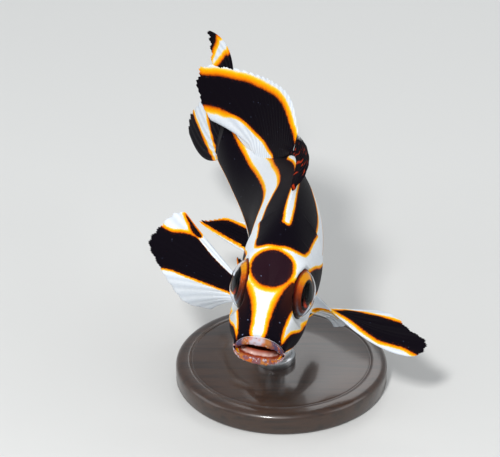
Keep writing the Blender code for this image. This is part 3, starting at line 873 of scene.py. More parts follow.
# Seed, cells across, cells along and size in millimetres of random patches on the lips
COARSE_RAGS = (11, 56, 40, 0.22)
FINE_RAGS = (12, 104, 60, 0.13)
FINE_RAG_SHARE = 0.6
NOSTRILS = [(4.1, 50, 0.30), (4.9, 49, 0.24)]
NOSTRIL_DEPTH = 0.34
NOSTRIL_RIM = 0.10


def gill_edge(angle):
    """u at the free edge of the gill cover."""
    c, sn = np.abs(np.cos(angle)), np.sin(angle)
    return GILL_PLACE + GILL_BULGE * c ** 1.5 - GILL_SWEEP * np.clip(-sn, 0, 1) ** 2


def gill_cover(u, angle):
    """Rise of the gill cover to its edge, the groove behind it and the fold inside it."""
    sn = np.sin(angle)
    flank = smooth(0.82, 0.5, sn) * smooth(-1.0, -0.85, sn) * (u > GILL_START)
    behind = u - gill_edge(angle)
    edge = np.where(behind < 0, COVER_RISE * np.exp(behind / 1.6), -COVER_GROOVE * np.exp(-behind / 0.35))
    inner = behind + INNER_GAP
    return flank * (edge + INNER_RISE * np.exp(-np.abs(inner) / 0.7) * np.sign(-inner))


def ridges(table, u):
    """Sum of ridges and grooves round the mouth, from (height, u, width) rows."""
    return sum(height * hump(middle, width, u) for height, middle, width in table)


def round_lips(pattern, angle, u):
    """Smooth random patches that close round the lips."""
    seed, across, along, size = pattern
    turns = (angle / (2 * np.pi)) % 1.0
    return cells(seed, across, along, turns * across, u / size)


def relief(u, angle, points):
    """How far each point of the skin is pushed out, in millimetres."""
    sn = np.sin(angle)
    upper = smooth(-0.25, 0.1, sn)
    out = gill_cover(u, angle)
    out += ridges(UPPER_LIP, u) * upper + ridges(LOWER_LIP, u) * (1 - upper)
    out += ridges(LOWER_GUM, u) * smooth(-0.2, -0.5, sn) + ridges(UPPER_GUM, u) * smooth(0.2, 0.5, sn)
    ragged = round_lips(COARSE_RAGS, angle, u) - 0.5
    ragged += FINE_RAG_SHARE * (round_lips(FINE_RAGS, angle, u) - 0.5)
    out += RAGGED_LIPS * (2 - upper) * ragged * hump(0.25, 0.75, u)
    for s, nostril_angle, radius in NOSTRILS:
        for side in (1, -1):
            turned = math.radians(nostril_angle if side > 0 else 180 - nostril_angle)
            middle = skin(np.float64(s), np.float64(turned))
            away = np.linalg.norm(points - middle, axis=1) / radius
            out += NOSTRIL_RIM * hump(1.45, 0.45, away) - NOSTRIL_DEPTH * np.exp(-away ** 4)
    return out


print("the gill cover ends", round(float(gill_edge(0.0)), 1), "mm behind the lips")

# %% Rings and the tail's flap
AROUND = 220
ROW_PARTS = [(-MOUTH_DEPTH, 0.0, 40), (0.0, SNOUT, 62), (SNOUT, 12.0, 118), (12.0, 17.0, 50),
             (17.0, FLAP_END, 165)]
FLAP_START = 45.6
FLAP_THINNING = 0.72
FLAP_WIDENING = 0.10
LAST_SECTION = 46.5
UV_RADIUS = 5.5


def skin_rows():
    """u of each ring, closer together on the lips and the head."""
    rows = [np.linspace(a, b, n, endpoint=False) for a, b, n in ROW_PARTS]
    return np.append(np.concatenate(rows), FLAP_END)


def flap(points, u):
    """Thins the end of the stalk to a flap over the roots of the tail's rays."""
    t = smooth(FLAP_START, FLAP_END, u)
    points = points.copy()
    points[:, 1] *= 1 - FLAP_THINNING * t
    points[:, 2] *= 1 + FLAP_WIDENING * t
    return points


print("rings of the skin:", len(skin_rows()))

# %% Skin mesh from its rings
def make_skin():
    """The whole skin in one closed mesh, with its distances and colours."""
    rows = skin_rows()
    angle = np.arange(AROUND) * 2 * math.pi / AROUND + math.pi / 2
    u, ang = (g.ravel() for g in np.meshgrid(rows, angle, indexing="ij"))
    straight = skin(np.minimum(u, LAST_SECTION), ang)
    straight[:, 0] = np.where(u > LAST_SECTION, u, straight[:, 0])
    straight = flap(straight, u)
    grid = spine(straight).reshape(len(rows), AROUND, 3)
    along = np.gradient(grid, axis=0)
    around = np.roll(grid, -1, axis=1) - np.roll(grid, 1, axis=1)
    normal = unit(np.cross(along, around)).reshape(-1, 3)
    ink, rim, a = body_ink(u, ang, straight)
    lifted = socket_skin(straight)
    spot = (1 - from_spot(lifted)) * (SPOT_ACROSS + SPOT_UP) / 2
    ink = np.where((u > SNOUT) & (np.abs(a) < 90), np.maximum(ink, spot), ink)
    points = spine(lifted) + normal * relief(u, ang, straight)[:, None]
    throat = spine(np.array([MOUTH_DEPTH + 0.3, 0.0, MOUTH_Z - 0.3]))
    end = spine(np.array([FLAP_END, 0, 0]))
    points = np.vstack([points, throat, end])
    faces = outward(points, tube_faces(len(rows), AROUND))
    last = [0, -1]
    u, ang, a = (np.append(v, v[last]) for v in (u, ang, a))
    ink, rim = np.append(ink, ink[last]), np.append(rim, rim[last])
    straight = np.vstack([straight, straight[last]])
    ground, dark, glint_speck, ink = head_colours(u, ang, a, straight, ink)
    uv = np.stack([u, np.radians(a) * UV_RADIUS], axis=-1)
    numbers = {"ink": ink, "rim": rim, "glint_speck": glint_speck}
    colours = {"ground": ground, "dark": dark}
    return new_mesh("skin", points, faces, skin_material, numbers, colours, uv)


# %% [markdown]
# ### Colours of the lips, mouth and belly
# Away from the bands the skin is white, with a pink belly and a grey cheek. The lips are tan
# with a white middle and purple-grey sides, and the mouth is orange-brown inside, with shade
# painted darker in its throat and under the upper lip. Each is a soft patch, so plain functions
# of the place are enough.
# %% Ground and dark colours
WHITE = srgb(226, 231, 236)
BLACK = srgb(14, 10, 18)
SPOT_BROWN = srgb(38, 20, 28)
CHEEK_GREY = srgb(176, 178, 176)
BELLY_PINK = srgb(226, 208, 204)
EYE_BROWN = srgb(96, 44, 16)
LIP_WHITE = srgb(196, 184, 194)
LIP_TAN = srgb(176, 112, 62)
LIP_PURPLE = srgb(88, 74, 100)
LIP_ORANGE = srgb(196, 96, 28)
MOUTH_ORANGE = srgb(150, 60, 30)
MOUTH_SHADE = srgb(84, 34, 18)
GUM_PINK = srgb(238, 206, 196)
MOTTLES = (21, 44, 30, 0.3)
BLOTCHES = (22, 60, 30, 0.24)


def dark_colours(u, side, points):
    """Colour of the black parts: brown in the spot and in front of the eyes."""
    dark = one_colour(BLACK, len(u))
    dark = blend(dark, SPOT_BROWN, smooth(1.5, 1.0, from_spot(points)) * smooth(90, 60, side))
    brown = hump(4.6, 1.5, u) * smooth(24, 34, side) * smooth(66, 54, side)
    return blend(dark, EYE_BROWN, 0.35 * brown)


def lip_colours(u, angle, side, lower):
    """Colour of the lips and the mouth, with painted shade in its depth; lower is 1 on the lower lip."""
    lip = one_colour(LIP_WHITE, len(u))
    lip = blend(lip, LIP_TAN, smooth(9, 20, side))
    lip = blend(lip, LIP_PURPLE, smooth(24, 44, side) * smooth(94, 84, side))
    lip = blend(lip, LIP_TAN, lower)
    mottled = round_lips(MOTTLES, angle, u)
    lip = blend(lip, LIP_ORANGE, smooth(0.45, 0.8, mottled) * 0.7)
    blotches = smooth(0.45, 0.75, round_lips(BLOTCHES, angle, u))
    lip = blend(lip, LIP_PURPLE, blotches * smooth(20, 40, side) * 0.7)
    lip = blend(lip, LIP_PURPLE, 0.5 * lower * smooth(0.55, 0.9, u))
    lip = blend(lip, MOUTH_ORANGE, smooth(0.16, -0.1, u))
    lip = blend(lip, GUM_PINK, lower * hump(-0.62, 0.16, u) * (0.5 + 0.5 * mottled))
    # Painted shade: the mouth is darker deep in its throat and under the upper lip
    lip = blend(lip, MOUTH_SHADE, smooth(-0.85, -1.35, u))
    return blend(lip, MOUTH_SHADE, 0.7 * (1 - lower) * smooth(-0.2, -0.9, u))


print("the lips go from", np.round(LIP_WHITE, 2), "to", np.round(LIP_PURPLE, 2))


# %% The skin made
def head_colours(u, angle, a, points, ink):
    """Ground, dark and painted glint specks of the whole skin, and the ink without the lips."""
    side = np.abs(a)
    lower = smooth(-0.05, -0.3, np.sin(angle))
    ground = one_colour(WHITE, len(u))
    ground = blend(ground, BELLY_PINK, smooth(125, 165, side) * 0.8)
    cheek = hump(4.5, 4.0, u) * smooth(55, 70, side) * smooth(120, 95, side)
    ground = blend(ground, CHEEK_GREY, 0.75 * cheek)
    ground = blend(ground, LIP_PURPLE, smooth(3.4, 1.6, u) * lower * 0.6)
    lip_edge = 0.82 + 0.5 * smooth(0.1, -0.4, np.sin(angle))
    on_lip = smooth(0.06, -0.06, u - lip_edge)
    ground = ground * (1 - on_lip[:, None]) + lip_colours(u, angle, side, lower) * on_lip[:, None]
    ink = np.where(on_lip > 0.5, NO_INK, ink)
    return ground, dark_colours(u, side, points), 0.35 + 0.65 * smooth(6, 3, u), ink


skin_piece = make_skin()
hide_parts("head", "trunk", "tail_stalk")
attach(skin_piece, "root")
print("skin:", count_triangles(skin_piece), "triangles")

# %% [markdown]
# ## Fins
# A fin is a sheet between its root on the body and a curved row of tips. Its place is measured
# by t, from the first ray to the last, and v, from root to tip. The membrane sags a little
# between the rays and its margin is notched there. The same two measures give the bands on it.
# %% Fin sheets
GAP = 0.3
RAY_FOLD = 0.06
BRANCH_FOLD = 0.03
BRANCH_NOTCH = 0.016
BRANCHES = 4


class Fin:
    """Sheet of a fin, from functions of t for root, tip and bow."""

    def __init__(self, name, root, tip, bow, rays, notch, outlines, girth=0.10, rim=0.45,
                 faint=(), pale=None):
        self.name, self.rays, self.notch, self.girth = name, rays, notch, girth
        self.root, self.tip, self.bow = root, tip, bow
        self.outlines, self.rim, self.faint, self.pale = outlines, rim, faint, pale

    def crest(self, t):
        """1 on a ray and 0 half way between two."""
        return 0.5 - 0.5 * np.cos(2 * np.pi * t * self.rays)

    def branch_crest(self, t):
        """The same for the branches that each ray ends in."""
        return 0.5 - 0.5 * np.cos(2 * np.pi * t * self.rays * BRANCHES)

    def reach(self, t, v):
        """v on the sheet with no notches, for a v that is 1 on the notched margin."""
        deep = self.notch * (1 - self.crest(t) ** 0.7) + BRANCH_NOTCH * (1 - self.branch_crest(t))
        return v * (1 - deep * smooth(0.5, 1.0, v))

    def straight(self, t, v):
        """Place on the sheet with no folds or notches."""
        shape = np.broadcast(t, v).shape
        t, v = np.broadcast_to(t, shape).ravel(), np.broadcast_to(v, shape).ravel()
        start, end = self.root(t), self.tip(t)
        middle = (start + end) / 2 + self.bow(t)
        v = v[:, None]
        return (start * (1 - v)**2 + 2 * middle * v * (1 - v) + end * v**2).reshape(*shape, 3)

    def normal(self, t, v):
        """Normal of the sheet."""
        d = 0.004
        across = self.straight(t + d, v) - self.straight(t - d, v)
        along = self.straight(t, v + d) - self.straight(t, v - d)
        return unit(np.cross(across, along))

    def place(self, t, v, lift=0.0):
        """Place on the folded sheet, lifted off its middle by some millimetres."""
        fold = RAY_FOLD * (self.crest(t) - 0.5)
        fold = fold + BRANCH_FOLD * (self.branch_crest(t) - 0.5) * smooth(0.45, 0.75, v)
        fold = fold * np.sin(np.pi * np.clip(v, 0, 1)) ** 0.6
        normal = self.normal(t, v)
        return self.straight(t, self.reach(t, v)) + normal * np.asarray(fold + lift)[..., None]


print("a fin's branches notch its margin by", 100 * BRANCH_NOTCH, "% of its length")

# %% Roots, tips and bows of fins
TAILWARD = 40.0


def curves_of(stations, t):
    """Smooth curves through each column of (t, ...) stations, read at t."""
    table = np.array(stations, float)
    return np.stack([curve(table[:, [0, k]], t) for k in range(1, table.shape[1])], axis=-1)


def path(stations):
    """Function of t through (t, s, x, z) stations, on the bent fish."""
    return lambda t: spine(curves_of(stations, t))


def push(stations):
    """Function of t through (t, left, up) stations, along the tail's own left and up."""
    left, up = spine.at(spine.frame[:, :, 0], TAILWARD), spine.at(spine.frame[:, :, 2], TAILWARD)
    return lambda t: curves_of(stations, t) @ np.stack([left, up])


def middle_fin(name, s0, s1, outline, tips, bow, rays, notch, **more):
    """Fin on the middle line, whose root follows the back or the belly."""
    way = 1 if outline is BACK else -1

    def root(t):
        s = s0 + (s1 - s0) * t
        return spine(np.stack([s, 0 * s, curve(outline, s) + way * GAP], axis=-1))

    return Fin(name, root, path(tips), push(bow), rays, notch, **more)


def side_fin(name, line, frame_s, tips, bow, rays, notch, **more):
    """Paired fin rooted along a line of (s, angle) on the skin; tips are (t, tailward, left, up)."""
    (s0, a0), (s1, a1) = line

    def along(t):
        return s0 + (s1 - s0) * t, np.radians(a0 + (a1 - a0) * t)

    def root(t):
        return spine(skin(*along(t))) + outward_normal(*along(t)) * GAP

    def tip(t):
        return spine.near(frame_s, curves_of(tips, t))

    def bend(t):
        offset = curves_of(bow, t)
        return spine.near(frame_s, offset) - spine.near(frame_s, 0 * offset)

    return Fin(name, root, tip, bend, rays, notch, **more)


print("the fins stand", GAP, "mm off the body")

# %% Bands on the fins
OUT = 1.15
RIGHT_PECTORAL_BLACK = [(0.13, 0.02), (0.15, 0.15), (0.145, 0.31), (0.12, 0.5), (0.115, 0.6), (0.145, 0.69),
                        (0.19, 0.78), (0.22, 0.86), (0.27, OUT), (0.56, OUT), (0.57, 0.9), (0.57, 0.8),
                        (0.59, 0.66), (0.61, 0.5), (0.63, 0.36), (0.67, 0.2), (0.7, 0.02)]
RIGHT_PECTORAL_WEDGE = [(0.012, 0.94), (0.05, 0.8), (0.10, 0.69), (0.085, 0.62), (0.035, 0.61),
                        (0.02, 0.75)]
LEFT_PECTORAL_BLACK = [(0.27, 0.17), (0.21, 0.3), (0.15, 0.38), (0.12, 0.47), (0.1, 0.57), (0.12, 0.66),
                       (0.12, 0.79), (0.07, 0.93), (0.03, OUT), (0.38, OUT), (0.44, 0.95), (0.48, 0.82),
                       (0.52, 0.69), (0.56, 0.54), (0.57, 0.4), (0.5, 0.28), (0.38, 0.18)]
LEFT_PECTORAL_LINE = [(0.80, 0.07), (0.70, 0.10), (0.67, 0.17), (0.71, 0.32), (0.79, 0.62), (0.815, 0.6),
                      (0.755, 0.31), (0.72, 0.17), (0.82, 0.11)]
PELVIC_BLACK = [(0.14, 0.25), (0.10, 0.7), (0.12, OUT), (0.8, OUT), (0.92, 0.8), (0.9, 0.25), (0.5, 0.12)]
ANAL_BLACK = [(0.12, -0.3), (0.19, 0.5), (0.16, 0.8), (0.06, OUT), (0.14, OUT), (0.22, 0.98), (0.42, 0.95),
              (0.57, 0.92), (0.67, 0.86), (0.725, 0.74), (0.74, 0.4), (0.73, -0.3)]
SOFT_BLACK = [(-0.3, -0.3), (-0.3, 0.3), (0.0, 0.42), (0.10, 0.47), (0.18, 0.5), (0.25, 0.59),
              (0.32, 0.7), (0.40, 0.755), (0.51, 0.77), (0.61, 0.79), (0.71, 0.8), (0.78, 0.81),
              (0.83, 0.82), (0.87, 0.86), (0.895, 0.96), (0.90, OUT), (0.975, OUT), (0.965, 0.9),
              (0.95, 0.72), (0.92, 0.46), (0.84, 0.22), (0.70, 0.12), (0.58, 0.04), (0.48, -0.05),
              (0.4, -0.3)]
SPINY_BLACK = [(-0.3, -0.5), (-0.3, 0.95), (1.3, 0.95), (1.3, -0.5)]
CAUDAL_CORE = [(0.47, OUT), (0.46, 0.84), (0.44, 0.74), (0.41, 0.62), (0.38, 0.48), (0.34, 0.34),
               (0.27, 0.18), (0.16, 0.05), (0.1, -0.3), (1.3, -0.3), (1.3, 0.5), (1.0, 0.55),
               (0.93, 0.62), (0.84, 0.70), (0.77, 0.80), (0.70, 0.93), (0.62, OUT)]
CAUDAL_LOW = [(-0.3, 0.1), (0.0, 0.17), (0.10, 0.31), (0.16, 0.46), (0.19, 0.64), (0.20, 0.80), (0.17, OUT),
              (-0.3, OUT)]
CAUDAL_HIGH = [(1.3, 0.83), (1.0, 0.86), (0.92, 0.88), (0.86, 0.93), (0.80, 0.99), (0.74, OUT), (1.3, OUT)]
print("the largest outline has", len(SOFT_BLACK), "points")

# %% The fins
CAUDAL_ROOT_HALF = 2.75


def caudal_root(t):
    """Root of the caudal fin, upright at the stalk's end."""
    return spine(np.stack([STALK_END + GAP + 0 * t, 0 * t, CAUDAL_ROOT_HALF * (2 * t - 1)], axis=-1))


fins = [
    middle_fin("dorsal_fin_spiny", 14.8, 26.4, BACK,
               [(0, 16.0, 0.7, 10.7), (0.15, 17.8, 0.9, 11.5), (0.3, 19.8, 0.5, 11.7),
                (0.55, 23.0, 0.25, 11.0), (0.8, 26.2, 0.4, 10.3), (1, 28.0, 0.4, 10.0)],
               [(0, 0.9, 0), (0.4, 0.9, 0), (1, 0.2, 0)], 12, 0.28, outlines=[SPINY_BLACK], girth=0.15),
    middle_fin("dorsal_fin_soft", 27.0, 38.9, BACK,
               [(0, 29.2, 1.0, 9.95), (0.2, 32.0, 0.5, 13.0), (0.4, 36.8, 0.2, 13.45),
                (0.6, 42.0, -0.2, 12.75), (0.76, 45.9, -1.85, 12.0), (0.88, 48.6, -4.25, 10.5),
                (0.95, 47.5, -4.3, 7.4), (1, 45.3, -3.3, 4.8)],
               [(0, 0, 0), (0.6, 0.6, 0.6), (0.9, 1.6, 1.0), (1, 0.9, 0.3)], 20, 0.03,
               outlines=[SOFT_BLACK], rim=0.55),
    middle_fin("anal_fin", 30.2, 36.4, BELLY,
               [(0, 40.9, -4.5, -6.8), (0.12, 40.9, -4.3, -6.6), (0.35, 40.1, -3.75, -6.1),
                (0.55, 39.9, -2.8, -5.9), (0.8, 39.3, -1.9, -5.4), (1, 38.4, -1.2, -5.3)],
               [(0, 0, -0.7), (1, 0, -0.1)], 9, 0.03, outlines=[ANAL_BLACK], rim=0.42),
    Fin("caudal_fin", caudal_root,
        path([(0, 57.4, 0, -8.9), (0.15, 57.8, 0, -6.6), (0.3, 56.4, 0, -3.7), (0.45, 55.2, 0.1, -0.8),
              (0.55, 54.8, 0.3, 1.2), (0.7, 55.4, 0.5, 3.6), (0.85, 56.9, 0.3, 6.2), (1, 57.7, -0.2, 8.0)]),
        push([(0, 0, -3.4), (0.5, 0.3, 0), (1, 3.0, 4.6)]), 15, 0.04,
        outlines=[CAUDAL_CORE, CAUDAL_LOW, CAUDAL_HIGH], rim=0.8),
    side_fin("pectoral_fin_right", ((16.4, 205), (15.8, 223)), 16.0,
             [(0, 4.5, -11.8, 1.6), (0.12, 5.0, -13.1, 0.8), (0.25, 5.0, -14.6, -1.3),
              (0.4, 4.8, -15.4, -3.2), (0.55, 4.0, -14.0, -5.2), (0.7, 3.2, -12.3, -7.0),
              (0.85, 2.6, -10.2, -8.7), (1, 2.4, -7.2, -8.9)],
             [(0, 0.0, -0.8, 0.6), (1, 0.0, -0.8, 0.6)], 14, 0.02,
             outlines=[RIGHT_PECTORAL_BLACK, RIGHT_PECTORAL_WEDGE], pale=0.62),
    side_fin("pectoral_fin_left", ((16.4, -25), (15.8, -43)), 16.0,
             [(0, -2.0, 15.8, -8.1), (0.1, -1.5, 16.8, -7.6), (0.22, -0.5, 17.0, -6.8),
              (0.38, 1.0, 14.9, -6.4), (0.52, 2.5, 13.0, -5.8), (0.68, 4.2, 10.0, -6.6),
              (0.85, 3.6, 8.0, -8.6), (1, 2.2, 6.6, -8.4)],
             [(0, -1.65, 1.2, -2.6), (0.13, -1.3, 1.2, -2.1), (0.3, -0.6, 1.2, -1.5),
              (0.5, 0.2, 1.2, -1.0), (0.75, 0.2, 1.2, 0.2), (1, 0.2, 1.2, 0.6)], 14, 0.02,
             outlines=[LEFT_PECTORAL_BLACK], faint=[LEFT_PECTORAL_LINE], pale=0.62),
    side_fin("pelvic_fin_right", ((16.4, 246), (17.9, 260)), 16.0,
             [(0, 8.9, -5.6, -5.1), (0.3, 9.1, -5.1, -5.4), (0.65, 8.5, -4.6, -5.6), (1, 6.8, -3.7, -6.2)],
             [(0, -0.3, -0.6, -0.8), (1, -0.3, -0.6, -0.8)], 6, 0.02, outlines=[PELVIC_BLACK]),
    side_fin("pelvic_fin_left", ((16.4, -66), (17.9, -80)), 16.0,
             [(0, 11.5, 4.6, -10.4), (0.3, 11.2, 4.0, -11.2), (0.65, 9.6, 3.4, -11.6), (1, 7.2, 2.6, -11.2)],
             [(0, -0.4, 0.9, -0.9), (1, -0.4, 0.9, -0.9)], 6, 0.05, outlines=[PELVIC_BLACK]),
]
print("rays of each fin:", {fin.name: fin.rays for fin in fins})

# %% Colours and distances on a fin
FIN_WHITE = srgb(230, 236, 242)
FIN_GREY = srgb(150, 164, 184)
FIN_BLACK = srgb(15, 11, 18)
SPINE_RED = srgb(206, 62, 14)
FLECK_SEED = 31
FLECK_TABLE = (26, 14)
FLECKS_ALONG = 22
FLECKS_UP = 5
FLECK_STRENGTH = 0.7
FAINT_LINE = 0.16
PALE_SHARE = 0.35
FIN_GLINT_SPECKS = 0.25


def fin_values(fin, t, v):
    """Attributes of places on a fin: distances, colours and how far light is let through."""
    v = fin.reach(t, v)
    uv = np.stack([t, v], axis=-1)
    points = fin.straight(t, v)

    def lift(rows):
        return fin.straight(rows[:, 0], rows[:, 1])

    ink = ink_of(fin.outlines, uv, points, lift)
    if fin.faint:
        ink = np.maximum(ink, ink_of(fin.faint, uv, points, lift) - FAINT_LINE)
    ground = blend(one_colour(FIN_WHITE, len(t)), FIN_GREY, 0.3 * (1 - fin.crest(t)))
    dark = one_colour(FIN_BLACK, len(t))
    if fin.name == "dorsal_fin_spiny":
        patches = cells(FLECK_SEED, *FLECK_TABLE, t * FLECKS_ALONG, v * FLECKS_UP)
        flecks = smooth(0.74, 0.9, patches) * smooth(0.75, 0.4, v)
        dark = blend(dark, SPINE_RED, FLECK_STRENGTH * flecks)
    body = np.ones(len(t))
    if fin.pale:
        body = 1 - PALE_SHARE * smooth(fin.pale, fin.pale + 0.15, t) * smooth(0.1, 0.4, v)
    rim = np.full(len(t), fin.rim)
    if fin.name == "dorsal_fin_soft":
        rim += 0.5 * smooth(0.45, 0.7, v) * smooth(0.0, 0.2, t)
    if fin.name == "pectoral_fin_right":
        rim *= 1 - 0.92 * smooth(0.4, 0.3, t) * smooth(0.66, 0.56, v) - 0.35 * smooth(0.45, 0.55, t)
    # Painted glints: share of pale blue specks on the fins' black
    glint_speck = np.full(len(t), FIN_GLINT_SPECKS)
    numbers = {"ink": ink, "rim": rim, "glint_speck": glint_speck, "body": body}
    return numbers, {"ground": ground, "dark": dark}


# %% Membranes
COLUMNS_PER_RAY = 8
ROWS = 46
ROOT_V = -0.09
HALF_THICKNESS = 0.05
ROOT_THICKENING = 0.25
RAY_THICKENING = 0.02
MARGIN_THINNING = 0.6
MEMBRANE_UV = 10


def make_membrane(fin):
    """Closed thin sheet with an upper and a lower face, thicker where it joins the body."""
    width = fin.rays * COLUMNS_PER_RAY + 1
    t, v = np.meshgrid(np.linspace(0, 1, width), np.linspace(ROOT_V, 1, ROWS), indexing="xy")
    thick = HALF_THICKNESS + ROOT_THICKENING * smooth(0.14, 0.0, v)
    thick += RAY_THICKENING * fin.crest(t) * (1 - v)
    thick *= 1 - MARGIN_THINNING * smooth(0.6, 1.0, v)
    top, bottom = fin.place(t, v, thick), fin.place(t, v, -thick)
    points = np.vstack([top.reshape(-1, 3), bottom.reshape(-1, 3)])
    count = ROWS * width
    faces = []
    for r in range(ROWS - 1):
        for c in range(width - 1):
            a, b = r * width + c, (r + 1) * width + c
            faces.append((a, a + 1, b + 1, b))
            faces.append((count + a, count + b, count + b + 1, count + a + 1))
    rim = list(range(width)) + [r * width + width - 1 for r in range(1, ROWS)]
    rim += [(ROWS - 1) * width + c for c in range(width - 2, -1, -1)]
    rim += [r * width for r in range(ROWS - 2, 0, -1)]
    for a, b in zip(rim, rim[1:] + rim[:1]):
        faces.append((a, count + a, count + b, b))
    t, v = np.tile(t.ravel(), 2), np.tile(v.ravel(), 2)
    numbers, colours = fin_values(fin, t, v)
    uv = np.stack([t, v], axis=-1) * MEMBRANE_UV
    faces = outward(points, faces)
    piece = new_mesh(fin.name + "_membrane", points, faces, fin_material, numbers, colours, uv)
    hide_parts(fin.name)
    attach(piece, "root")
    return piece


membranes = [make_membrane(fin) for fin in fins]
print("membranes:", {m.name: count_triangles(m) for m in membranes})

# %% [markdown]
# ## Rays, by Geometry Nodes
# A soft ray runs as one rod from the root, splits near the middle and splits again near the
# margin; a spine stays whole and ends in a point. All of them are thin wires first, each point
# with its girth, its distance to the bands and its colours. One Geometry Nodes tree turns every
# wire into a tapered rod, and the colours ride along, so the bands run on over the rays.
# %% Wires of the rays
STEM_POINTS = 15
BRANCH_POINTS = 12
SPINE_POINTS_ALONG = 30
RAY_START = -0.05
SPINE_TIP = 1.03
FIRST_FORK = 0.45
SECOND_FORK = 0.74
FIRST_SPREAD = 0.20
SECOND_SPREAD = 0.11


def ray_wires(fin):
    """Rows of (t, v, girth) points, one row for each branch."""
    step = 1 / fin.rays
    wires = []
    for ray in range(fin.rays):
        middle = (ray + 0.5) * step
        if fin.name == "dorsal_fin_spiny":
            v = np.linspace(RAY_START, SPINE_TIP, SPINE_POINTS_ALONG)
            wires.append((middle + 0 * v, v, fin.girth * (SPINE_TIP - 0.85 * np.clip(v, 0, 1))))
            continue
        v = np.linspace(RAY_START, FIRST_FORK, STEM_POINTS)
        wires.append((middle + 0 * v, v, fin.girth * (1 - 0.45 * np.clip(v, 0, 1))))
        for first in (-1, 1):
            v = np.linspace(FIRST_FORK, SECOND_FORK, BRANCH_POINTS)
            t = middle + first * FIRST_SPREAD * step * smooth(0.40, 0.85, v)
            wires.append((t, v, fin.girth * (0.66 - 0.35 * v)))
            for second in (-1, 1):
                v = np.linspace(SECOND_FORK, 1.0, BRANCH_POINTS)
                t = (middle + first * FIRST_SPREAD * step * smooth(0.40, 0.85, v)
                     + second * SECOND_SPREAD * step * smooth(0.70, 1.0, v))
                wires.append((t, v, fin.girth * (0.52 - 0.42 * v)))
    return wires


def make_wires():
    """One object of all the wires, with the girth, distances and colours at each point."""
    points, edges, numbers, colours = [], [], [], []
    first = 0
    for fin in fins:
        wires = ray_wires(fin)
        for t, _, _ in wires:
            edges += [(first + k, first + k + 1) for k in range(len(t) - 1)]
            first += len(t)
        t, v, girth = (np.concatenate(rows) for rows in zip(*wires))
        points.append(fin.place(t, v))
        fin_numbers, fin_colours = fin_values(fin, t, v)
        numbers.append({**fin_numbers, "girth": girth})
        colours.append(fin_colours)
    numbers = {key: np.concatenate([n[key] for n in numbers]) for key in ("girth", "ink", "rim", "glint_speck")}
    colours = {key: np.vstack([c[key] for c in colours]) for key in ("ground", "dark")}
    return new_mesh("fin_rays_wires", np.vstack(points), [], None, numbers, colours, edges=edges)


print("wires in one pectoral fin:", len(ray_wires(fins[4])))


# %% Tree that makes rods of the wires
def geometry_tree(name, inputs):
    """Empty tree with a geometry input and output and named sizes; returns it with its ends."""
    tree = bpy.data.node_groups.new(name, "GeometryNodeTree")
    socket(tree, "Geometry", "NodeSocketGeometry")
    for label, kind, default in inputs:
        socket(tree, label, kind, default)
    socket(tree, "Geometry", "NodeSocketGeometry", way="OUTPUT")
    return tree, add(tree, "NodeGroupInput"), add(tree, "NodeGroupOutput")


def finish_tree(tree, enter, leave, shape):
    """The end of each tree: smooth shading, Realize Instances and Set Material."""
    link = tree.links.new
    round_off = add(tree, "GeometryNodeSetShadeSmooth")
    link(shape, round_off.inputs["Geometry"])
    real = add(tree, "GeometryNodeRealizeInstances")
    link(round_off.outputs[0], real.inputs["Geometry"])
    paint = add(tree, "GeometryNodeSetMaterial")
    link(real.outputs[0], paint.inputs["Geometry"])
    link(enter.outputs["Material"], paint.inputs["Material"])
    link(paint.outputs[0], leave.inputs["Geometry"])


def rod_tree():
    """Round rods along the wires, as thick as their girth says."""
    tree, enter, leave = geometry_tree("rods_from_wires", [
        ("Thickness", "NodeSocketFloat", 1.0), ("Sides", "NodeSocketInt", 6),
        ("Material", "NodeSocketMaterial", None)])
    link = tree.links.new
    curves = add(tree, "GeometryNodeMeshToCurve")
    link(enter.outputs["Geometry"], curves.inputs["Mesh"])
    circle = add(tree, "GeometryNodeCurvePrimitiveCircle")
    set_inputs(circle, Radius=MM)
    link(enter.outputs["Sides"], circle.inputs["Resolution"])
    girth = add(tree, "GeometryNodeInputNamedAttribute", data_type="FLOAT")
    set_inputs(girth, Name="girth")
    size = add(tree, "ShaderNodeMath", operation="MULTIPLY")
    link(girth.outputs["Attribute"], size.inputs[0])
    link(enter.outputs["Thickness"], size.inputs[1])
    rods = add(tree, "GeometryNodeCurveToMesh")
    set_inputs(rods, Fill_Caps=True)
    link(curves.outputs[0], rods.inputs["Curve"])
    link(circle.outputs["Curve"], rods.inputs["Profile Curve"])
    link(size.outputs[0], rods.inputs["Scale"])
    finish_tree(tree, enter, leave, rods.outputs[0])
    return tree


def apply_tree(source, tree, name, **values):
    """Plain mesh object from a source object run through a tree; the source goes."""
    modifier = source.modifiers.new("nodes", "NODES")
    modifier.node_group = tree
    for item in tree.interface.items_tree:
        key = item.name.replace(" ", "_")
        if item.in_out == "INPUT" and key in values:
            modifier[item.identifier] = values[key]
    shown = source.evaluated_get(bpy.context.evaluated_depsgraph_get())
    mesh = bpy.data.meshes.new_from_object(shown)
    mesh.name = name
    made = bpy.data.objects.new(name, mesh)
    bpy.context.scene.collection.objects.link(made)
    bpy.data.objects.remove(source, do_unlink=True)
    return made


rays_piece = apply_tree(make_wires(), rod_tree(), "fin_rays", Thickness=1.0, Sides=6,
                        Material=ray_material)
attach(rays_piece, "root")
print("rays:", count_triangles(rays_piece), "triangles")

